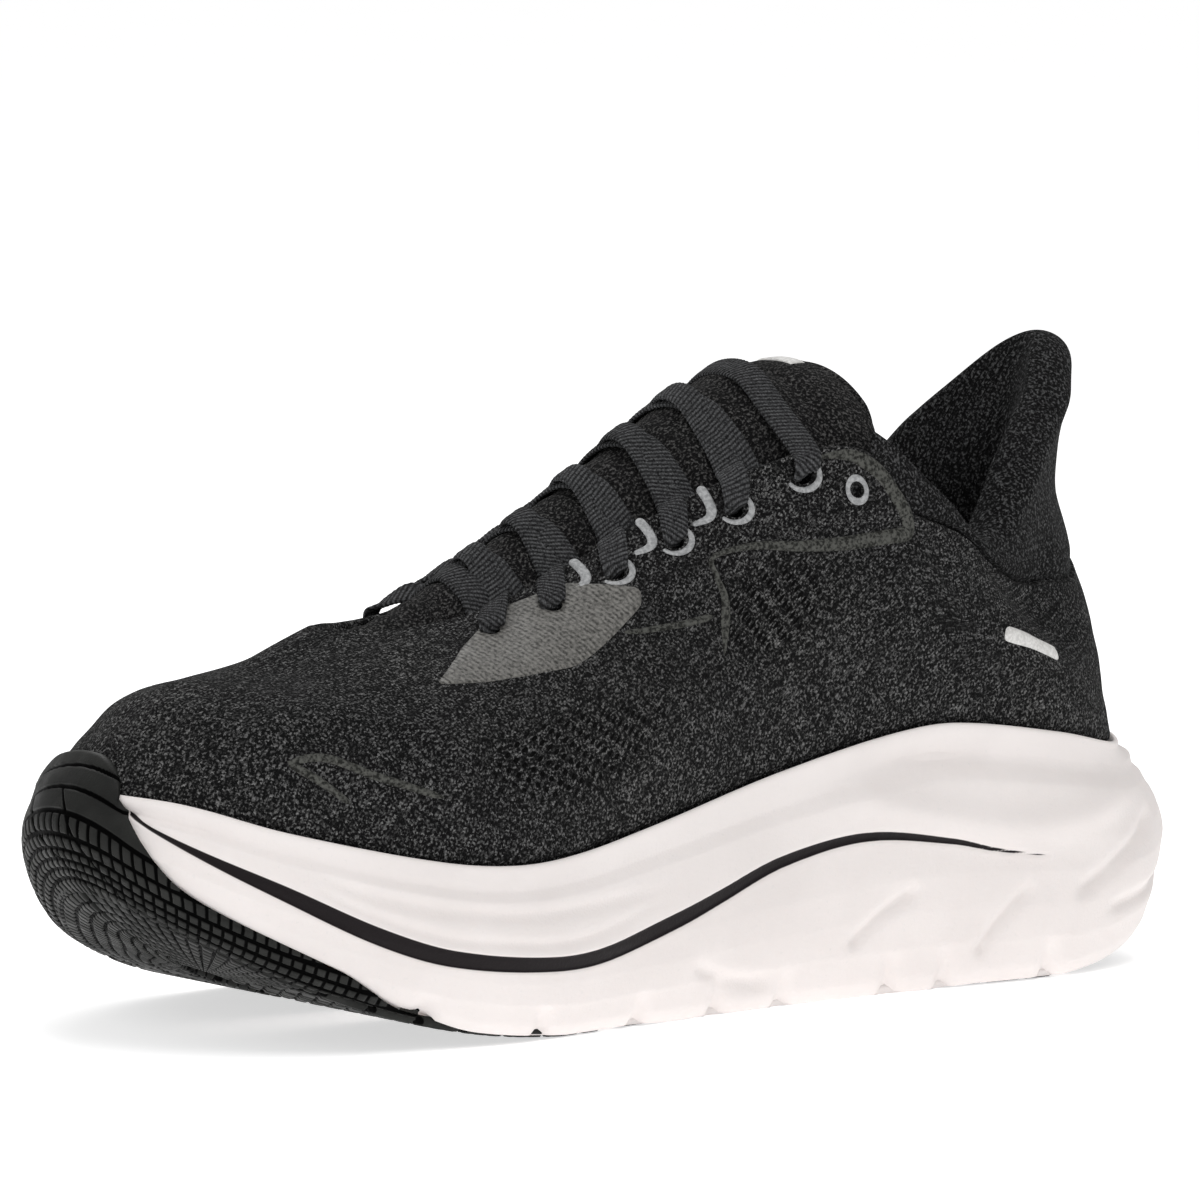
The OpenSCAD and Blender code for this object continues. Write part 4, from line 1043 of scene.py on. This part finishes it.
# ---- the lace ----
UNDER = EYESTAY_T + 0.35 + LACE_T / 2     # depth of the lace under an eyestay
OVER = -0.45 - LACE_T / 2                 # and over it, negative outside
LOW = LACE_T / 2 + 0.15                   # height of the lower strand over the tongue
HIGH = LOW + LACE_T + 0.15                # height of the strand that crosses on top
DIVE = 0.4                                # stations from an eyelet to where the lace goes under the edge
THROAT = unit(np.array([-0.87, 0, 0.48]))  # the lace's width lies along the throat


def at_wall(k, g, v, depth, width=1.0):
    return (*off_wall(on_side(k, g), v, depth), width)


def over_tongue(k, f, h):
    return (*(arch(k, f) + arch_normal(k, f) * h), 1.0)


def hole(r, g):
    return at_wall(EYELETS[r], g, EYELET_ROWS[r], EYESTAY_T / 2, 0.8)


def over_edge(r, g):
    k = EYELETS[r]
    return [at_wall(k, g, EYELET_ROWS[r] + 0.02, OVER, 0.92), at_wall(k + 0.05, g, 3.93, OVER - 0.1),
            at_wall(k + 0.07, g, 4.09, 0.9)]


def under_edge(r, g):
    k = EYELETS[r]
    return [at_wall(k - DIVE, g, 4, UNDER), at_wall(k - 0.16, g, 3.86, UNDER + 0.2, 0.9),
            at_wall(k, g, EYELET_ROWS[r], UNDER, 0.45)]


def emerging(g):
    k = EYELETS[0]
    return [at_wall(k, g, EYELET_ROWS[0], UNDER, 0.45), at_wall(k + 0.02, g, 3.8, UNDER + 0.2, 0.9),
            at_wall(k + 0.05, g, 4, UNDER)]


def strand(r, g):
    """From eyelet r on side g across the tongue to eyelet r + 1 on the other side."""
    k0, k1 = EYELETS[r] + 0.1, EYELETS[r + 1] - DIVE
    h = HIGH if g > 0 else LOW
    crossing = [(0.06, 0.92, LOW + 0.9), (0.16, 0.74, LOW), (0.32, 0.45, LOW), (0.45, 0.2, h),
                (0.57, -0.05, h), (0.7, -0.3, LOW), (0.8, -0.5, LOW), (0.92, -0.78, LOW), (0.97, -0.92, LOW)]
    return ([hole(r, g)] + (emerging(g) if r == 0 else over_edge(r, g))
            + [over_tongue(mix(k0, k1, f), g * across, height) for f, across, height in crossing]
            + under_edge(r + 1, -g))


def half_lace(g):
    return [p for r in range(5) for p in strand(r, g if r % 2 == 0 else -g)]


def tucked(k):
    """A tail tucked in between tongue and wall, down from the edge at station k of the lateral side."""
    return ([at_wall(k, -1, 4.13, 0.9), at_wall(k, -1, 3.98, UNDER + 0.5)]
            + [at_wall(k, -1, 3.65 - 0.35 * i, UNDER + 0.5 + 0.7 * i) for i in range(4)])


def lace_route():
    """The whole lace: down one half, over the bar at the toe, up the other half; both tails tucked in."""
    over_bar = [over_tongue(EYELETS[0] - 0.1, f, LOW) for f in (0.88, 0.6, 0, -0.6, -0.88)]
    bar = [hole(0, 1)] + over_edge(0, 1) + over_bar + over_edge(0, -1)[::-1]
    last = ((6.55, 0.7, 1.9), (6.6, 0.25, 1.4), (6.66, -0.25, 1.0), (6.8, -0.7, 0.8))
    tail_medial = [hole(5, 1)] + over_edge(5, 1) + [over_tongue(*point) for point in last] + tucked(7.2)
    tail_lateral = [hole(5, -1), at_wall(6.6, -1, EYELET_ROWS[5] + 0.03, OVER, 0.5),
                    at_wall(6.78, -1, 3.88, OVER - 0.1)] + tucked(6.84)
    return (half_lace(1) + tail_lateral)[::-1] + bar[1:] + half_lace(-1) + tail_medial


def add_lace(step=0.26, pitch=1.1):
    """The flat woven lace, with its cross ribs."""
    dense = through(lace_route(), 40)
    far = running(dense[:, :3])
    marks = np.arange(0, far[-1], step)
    p = np.stack([np.interp(marks, far, dense[:, i]) for i in range(4)], -1)
    soft = np.hanning(15)
    soft /= soft.sum()
    padded = np.pad(p, ((7, 7), (0, 0)), "edge")
    p = np.stack([np.convolve(padded[:, i], soft, "valid") for i in range(4)], -1)
    c, width = p[:, :3], p[:, 3]
    t = unit(np.gradient(c, axis=0))
    w = THROAT - t * (t @ THROAT)[:, None]
    blur = np.hanning(29)
    w = np.stack([np.convolve(np.pad(w[:, i], 14, "edge"), blur, "valid") for i in range(3)], -1)
    w = unit(w - t * np.sum(w * t, -1, keepdims=True))
    n = np.cross(w, t)
    a = np.linspace(0, 2 * np.pi, 20, endpoint=False)
    ca = np.sign(np.cos(a)) * np.abs(np.cos(a))**0.75
    sa = np.sign(np.sin(a)) * np.abs(np.sin(a))**0.8
    rib = np.cos(2 * np.pi * (marks[:, None] + 0.45 * ca * LACE_W / 2) / pitch)
    thin = LACE_T / 2 * (0.92 + 0.08 * rib - 0.12 * (1 - np.abs(ca)) ** 2)
    side = LACE_W / 2 * width[:, None] * (0.985 + 0.02 * rib)
    thick = thin * mix(1.25, 1, smooth(width, 0.4, 0.9))[:, None]
    rings = c[:, None] + w[:, None] * (side * ca)[..., None] + n[:, None] * (thick * sa)[..., None]
    run = marks[:, None] * MM + 0 * a
    across = ca * LACE_W / 2 * MM + 0 * marks[:, None]
    piece = add_rings("shoelace", rings[:, ::-1], run=run[:, ::-1], across=across[:, ::-1])
    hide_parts("lace")
    return piece


# ---- materials ----
class Finish:
    """A material around one Principled shader; sockets are set from plain values or from nodes."""

    def __init__(self, name, color, roughness, **sockets):
        self.material = bpy.data.materials.new(name)
        self.material.use_nodes = True
        self.tree = self.material.node_tree
        self.shader = self.tree.nodes["Principled BSDF"]
        self.put(self.shader, {"Base Color": (*color, 1), "Roughness": roughness, **sockets})

    def put(self, node, values):
        for key, value in values.items():
            socket = node.inputs[key]
            if isinstance(value, bpy.types.NodeSocket):
                self.tree.links.new(value, socket)
            else:
                socket.default_value = value

    def node(self, kind, values=(), out=0, **settings):
        node = self.tree.nodes.new("ShaderNode" + kind)
        for key, value in settings.items():
            setattr(node, key, value)
        self.put(node, dict(values))
        return node.outputs[out]

    def math(self, operation, *values):
        return self.node("Math", list(enumerate(values)), operation=operation)

    def add(self, a, b):
        return self.math("ADD", a, b)

    def subtract(self, a, b):
        return self.math("SUBTRACT", a, b)

    def times(self, a, b):
        return self.math("MULTIPLY", a, b)

    def over(self, a, b):
        return self.math("DIVIDE", a, b)

    def line(self, a, slope, start):
        return self.math("MULTIPLY_ADD", a, slope, start)

    def attribute(self, name):
        return self.node("Attribute", out="Fac", attribute_name=name)

    def place(self):
        return self.node("TexCoord", out="Object")

    def noise(self, scale, detail=3.0, vector=None, rough=0.55):
        return self.node("TexNoise", {"Scale": scale, "Detail": detail, "Roughness": rough,
                                      "Vector": vector or self.place()}, out="Fac")

    def band(self, value, low, high, to_low=0.0, to_high=1.0):
        ends = {"From Min": low, "From Max": high, "To Min": to_low, "To Max": to_high}
        return self.node("MapRange", {"Value": value, **ends}, interpolation_type="SMOOTHSTEP")

    def blend(self, fac, a, b):
        a, b = [(*c, 1) if isinstance(c, tuple) else c for c in (a, b)]
        return self.node("Mix", {6: a, 7: b, 0: fac}, out=2, data_type="RGBA")   # sockets A, B and Factor

    def bump(self, height, distance, strength=1.0):
        normal = self.node("Bump", {"Height": height, "Distance": distance, "Strength": strength})
        self.put(self.shader, {"Normal": normal})

    def color(self, value):
        self.put(self.shader, {"Base Color": value})

    def rough(self, value):
        self.put(self.shader, {"Roughness": value})

    def wave(self, phase):
        """A soft wave of 0 to 1 with one crest each time phase grows by 1."""
        turn = self.times(phase, 2 * math.pi)
        return self.line(self.math("SINE", turn), 0.5, 0.5)


def foam_white():
    """White midsole foam, faintly flecked, with the black line in its side."""
    m = Finish("foam_white", (0.86, 0.83, 0.82), 0.62, **{
        "Subsurface Weight": 0.06, "Subsurface Scale": 0.01, "Subsurface Radius": (1, 0.8, 0.7)})
    cloud = m.blend(m.band(m.noise(38.0, 4.0), 0.3, 0.7), (0.87, 0.815, 0.795), (0.83, 0.775, 0.755))
    fleck = m.band(m.noise(900.0, 2.0), 0.66, 0.74, 0.0, 0.3)
    base = m.blend(fleck, cloud, (0.74, 0.715, 0.7))
    line = m.band(m.attribute("stripe"), -0.1, 0.1)
    m.put(m.shader, {"Specular IOR Level": m.line(line, 0.38, 0.12)})
    m.color(m.blend(line, (0.012, 0.009, 0.01), base))
    m.rough(m.band(line, 0.0, 1.0, 0.42, 0.6))
    grain = m.add(m.noise(1400.0, 2.0), m.times(m.noise(260.0, 3.0), 0.8))
    m.bump(grain, 0.00016, 0.55)
    return m.material


def rubber_black():
    """Matt black rubber, with painted shade that darkens its cuts and dims their highlights."""
    m = Finish("rubber_black", (0.02, 0.02, 0.021), 0.56)
    worn = m.noise(70.0, 5.0)
    faces = m.blend(m.band(worn, 0.35, 0.75), (0.007, 0.0074, 0.0066), (0.018, 0.0185, 0.0165))
    # painted shade: the cut attribute blends the grooves to near black and lowers their specular
    cut = m.band(m.attribute("cut"), 0.2, 0.75)
    m.color(m.blend(cut, faces, (0.001, 0.001, 0.001)))
    m.put(m.shader, {"Specular IOR Level": m.line(cut, -0.2, 0.22)})
    m.rough(m.band(m.noise(160.0, 4.0), 0.3, 0.7, 0.44, 0.66))
    grain = m.add(m.noise(2600.0, 2.0), m.times(m.noise(420.0, 4.0), 0.6))
    m.bump(grain, 0.00012, 0.7)
    return m.material


def knit():
    """Heathered knit: columns of small v stitches in black and grey yarn, opened into a net in places whose
    pores get painted shade.
    """
    m = Finish("knit_heather", (0.02, 0.02, 0.022), 0.92, **{
        "Sheen Weight": 0.02, "Sheen Roughness": 0.4, "Specular IOR Level": 0.06})
    run, rise = m.attribute("run"), m.attribute("rise")
    wander = m.times(m.subtract(m.noise(55.0, 2.0), 0.5), 0.0016)
    column = m.over(m.add(run, wander), 0.0011)
    across = m.math("ABSOLUTE", m.subtract(m.math("FRACT", column), 0.5))
    row = m.add(m.over(rise, 0.00085), m.times(across, 1.2))
    legs = m.wave(row)
    valley = m.band(across, 0.5, 0.3)
    stitch = m.line(m.times(m.line(legs, 0.65, 0.35), valley), 0.75, 0.25)
    cell = m.node("CombineXYZ", {"X": m.math("FLOOR", column), "Y": m.math("FLOOR", row)})
    pick = m.node("TexWhiteNoise", {"Vector": cell}, out="Value", noise_dimensions="2D")
    fleck = m.noise(1650.0, 2.0)
    heather = m.times(m.band(pick, -0.3, 1.0), m.band(fleck, 0.45, 0.63))
    cloud = m.noise(26.0, 3.0)
    dark = m.blend(cloud, (0.004, 0.0041, 0.0043), (0.008, 0.008, 0.0081))
    yarn = m.blend(cloud, (0.15, 0.152, 0.156), (0.3, 0.296, 0.288))
    net = m.attribute("open_mesh")
    hole_x = m.wave(m.over(run, 0.0031))
    hole_y = m.wave(m.add(m.over(rise, 0.0027), m.over(run, 0.0062)))
    pore = m.times(m.band(m.times(hole_x, hole_y), 0.42, 0.62), net)
    base = m.blend(m.times(heather, stitch), dark, yarn)
    # painted shade: the net's pores, openings onto the dark inside, are coloured darker than any yarn
    m.color(m.blend(pore, base, (0.0012, 0.0012, 0.0012)))
    height = m.subtract(m.add(stitch, m.times(fleck, 0.5)), m.times(pore, 1.6))
    m.bump(height, 0.0005, 0.85)
    return m.material


def mesh_cloth(name, dark, light, pitch):
    """A padded spacer mesh: small round pores in staggered rows over fine yarn."""
    m = Finish(name, dark, 0.93, **{
        "Sheen Weight": 0.015, "Sheen Roughness": 0.5, "Specular IOR Level": 0.06})
    run, rise = m.attribute("run"), m.attribute("rise")
    a = m.wave(m.over(m.add(run, m.times(rise, 0.5)), pitch))
    b = m.wave(m.over(m.subtract(run, m.times(rise, 0.5)), pitch))
    c = m.wave(m.over(rise, pitch * 0.9))
    net = m.times(m.times(a, b), m.line(c, 0.5, 0.5))
    pore = m.band(net, 0.3, 0.6)
    yarn = m.noise(1700.0, 3.0)
    speck = m.times(m.band(yarn, 0.45, 0.7), m.subtract(1.0, pore))
    m.color(m.blend(speck, m.blend(m.noise(30.0, 3.0), dark, tuple(1.7 * x for x in dark)), light))
    m.bump(m.subtract(m.times(yarn, 0.7), pore), 0.0005, 0.8)
    return m.material


def lace_weave():
    """A flat woven lace: slanting ribs of fine yarn."""
    m = Finish("lace_weave", (0.012, 0.012, 0.013), 0.86, **{
        "Sheen Weight": 0.02, "Sheen Roughness": 0.4, "Specular IOR Level": 0.08})
    run, across = m.attribute("run"), m.attribute("across")
    rib = m.wave(m.over(m.add(run, m.times(across, 0.45)), 0.0011))
    yarn = m.wave(m.over(across, 0.00055))
    fine = m.noise(1900.0, 3.0)
    tone = m.times(m.line(rib, 0.85, 0.15), m.line(yarn, 0.3, 0.7))
    tone = m.times(tone, m.band(fine, 0.25, 0.65))
    m.color(m.blend(tone, (0.004, 0.004, 0.0043), (0.13, 0.132, 0.136)))
    m.bump(m.add(m.times(rib, 0.7), m.times(m.add(yarn, fine), 0.4)), 0.0003, 0.8)
    return m.material


def film(name, dark, light, rough, gloss=0.3, twill=0.0):
    """A thin printed or welded film; twill is how much the slanting rows under it show through."""
    m = Finish(name, light, rough, **{"Specular IOR Level": gloss})
    split = m.tree.nodes.new("ShaderNodeSeparateXYZ")
    m.put(split, {"Vector": m.place()})
    x, z = split.outputs["X"], split.outputs["Z"]
    bent = m.times(m.noise(300.0, 2.0), 0.0016)
    slant = m.line(x, 0.8, m.times(z, -0.6))
    row = m.wave(m.over(m.add(slant, bent), 0.0012))
    grain = m.band(m.noise(1300.0, 3.0), 0.36, 0.62)
    cell = m.line(row, twill, m.times(grain, 1 - twill))
    cloud = m.noise(120.0, 4.0)
    m.color(m.blend(cell, dark, light))
    m.rough(m.band(cloud, 0.3, 0.7, rough * 0.85, min(1.0, rough * 1.15)))
    m.bump(m.add(m.times(cell, -0.8), m.times(cloud, 0.3)), 0.00018, 0.6)
    return m.material


def board_cloth():
    """The pale fibre cloth of the lasting board."""
    m = Finish("strobel_board", (0.62, 0.57, 0.49), 0.9)
    fibre = m.noise(800.0, 5.0)
    m.color(m.blend(fibre, (0.5, 0.45, 0.38), (0.7, 0.66, 0.58)))
    m.bump(fibre, 0.0002, 0.6)
    return m.material


def moulded(name, dark, light, rough, scale):
    """A plain moulded or pressed material with a fine grain."""
    m = Finish(name, dark, rough)
    grain = m.noise(scale, 4.0)
    m.color(m.blend(grain, dark, light))
    m.rough(m.band(m.noise(scale / 6, 3.0), 0.3, 0.7, rough * 0.8, min(1.0, rough * 1.2)))
    m.bump(grain, 0.0001, 0.5)
    return m.material


def paint(material, *pieces):
    """Puts one material on every slot of each piece."""
    for piece in pieces:
        if piece.material_slots:
            for socket in piece.material_slots:
                socket.material = material
        else:
            piece.data.materials.append(material)


# ---- stage ----
def add_floor():
    """A wide white floor just under the sole, with a little light of its own."""
    n, reach = 40, 20000
    u, v = np.meshgrid(np.linspace(-reach, reach, n), np.linspace(-reach, reach, n), indexing="ij")
    floor = add_mesh("floor", xyz(u, v, -0.05), quads(n, n), body=None)
    m = Finish("floor_white", (0.9, 0.9, 0.9), 0.8, **{
        "Emission Color": (1, 1, 1, 1), "Emission Strength": 0.62, "Specular IOR Level": 0.1})
    m.color(m.blend(m.noise(6.0, 3.0), (0.88, 0.88, 0.88), (0.91, 0.91, 0.91)))
    paint(m.material, floor)


def add_light(name, azimuth, elevation, distance, size, power):
    """A square soft light that faces the shoe."""
    a, e = math.radians(azimuth), math.radians(elevation)
    back = Vector((math.sin(a) * math.cos(e), -math.cos(a) * math.cos(e), math.sin(e)))
    data = bpy.data.lights.new(name, "AREA")
    data.size, data.energy = size, power
    light = bpy.data.objects.new(name, data)
    light.location = Vector((0, 0, 0.06)) + back * distance
    light.rotation_euler = back.to_track_quat("Z", "Y").to_euler()
    bpy.context.scene.collection.objects.link(light)


def add_camera():
    """At the medial front corner of the shoe, a little above it."""
    azimuth, elevation, distance, roll = math.radians(140.9), math.radians(6.57), 2.0, math.radians(0.87)
    back = Vector((math.sin(azimuth) * math.cos(elevation), -math.cos(azimuth) * math.cos(elevation),
                   math.sin(elevation)))
    right = Vector((math.cos(azimuth), math.sin(azimuth), 0))
    right.rotate(Quaternion(back, roll))
    up = back.cross(right)
    middle = Vector((0, 0, 0.06))
    eye, target = middle + back * distance, middle - right * 0.0028 + up * 0.0254
    data = bpy.data.cameras.new("camera")
    data.lens, data.sensor_width = 276.7, 36
    camera = bpy.data.objects.new("camera", data)
    camera.location = eye
    toward = (eye - target).normalized()
    camera.rotation_euler = Matrix((right, toward.cross(right), toward)).transposed().to_euler()
    bpy.context.scene.collection.objects.link(camera)
    bpy.context.scene.camera = camera


def add_world():
    """An even white surround: bright where the camera looks past the floor, softer as a light."""
    world = bpy.data.worlds.new("studio")
    world.use_nodes = True
    tree = world.node_tree
    background = tree.nodes["Background"]
    background.inputs["Color"].default_value = (1, 1, 1, 1)
    strength = tree.nodes.new("ShaderNodeMapRange")
    strength.inputs["To Min"].default_value = 0.42
    strength.inputs["To Max"].default_value = 1.0
    path = tree.nodes.new("ShaderNodeLightPath")
    tree.links.new(path.outputs["Is Camera Ray"], strength.inputs["Value"])
    tree.links.new(strength.outputs[0], background.inputs["Strength"])
    bpy.context.scene.world = world
    bpy.context.scene.view_settings.view_transform = "Standard"


add_camera()
add_world()
add_floor()
add_light("key", 150, 62, 1.6, 0.8, 8)
add_light("front", 85, 40, 1.8, 0.8, 3)
add_light("rim", 330, 50, 1.6, 0.9, 7)

rubber, knitted = rubber_black(), knit()
collar_cloth = mesh_cloth("collar_mesh", (0.004, 0.004, 0.0041), (0.09, 0.091, 0.092), 0.0021)
tongue_cloth = mesh_cloth("tongue_mesh", (0.004, 0.004, 0.0041), (0.09, 0.088, 0.086), 0.0018)

paint(foam_white(), add_midsole())
paint(rubber, add_bumper(), *[add_tread("outsole_" + name, *sizes) for name, sizes in PADS.items()])
paint(knitted, add_skin())
paint(collar_cloth, add_collar())
paint(tongue_cloth, add_tongue())
paint(mesh_cloth("sockliner_cloth", (0.02, 0.021, 0.023), (0.09, 0.092, 0.1), 0.0016), add_sockliner())
paint(lace_weave(), add_lace())
white_film = film("mark_white", (0.62, 0.61, 0.59), (0.78, 0.77, 0.75), 0.45)
trim_film = film("trim_film", (0.02, 0.0202, 0.0185), (0.095, 0.096, 0.088), 0.85, 0.06)
bonded = {
    "heel_bar": white_film, "piping_band": trim_film, "toe_lines": trim_film,
    "eyelet_print": film("print_grey", (0.27, 0.275, 0.28), (0.42, 0.425, 0.43), 0.55),
    "side_panel": film("reflective_film", (0.035, 0.034, 0.031), (0.215, 0.209, 0.195), 0.5, 0.2, 0.4)}
paint(white_film, add_label())
add_prints()
add_trim()
for kind, finish in bonded.items():
    paint(finish, *[bpy.data.objects[kind + side] for side in ("_medial", "_lateral")])

paint(board_cloth(), nodes["strobel_board"])
stiffener = moulded("stiffener_sheet", (0.07, 0.065, 0.06), (0.11, 0.1, 0.09), 0.6, 500.0)
paint(stiffener, add_toe_puff(), nodes["heel_counter"])
padding = moulded("padding_foam", (0.02, 0.02, 0.021), (0.035, 0.035, 0.036), 0.95, 900.0)
paint(padding, nodes["collar_foam"])
plastic = moulded("aglet_plastic", (0.008, 0.008, 0.008), (0.014, 0.014, 0.014), 0.25, 300.0)
paint(plastic, nodes["aglets"])
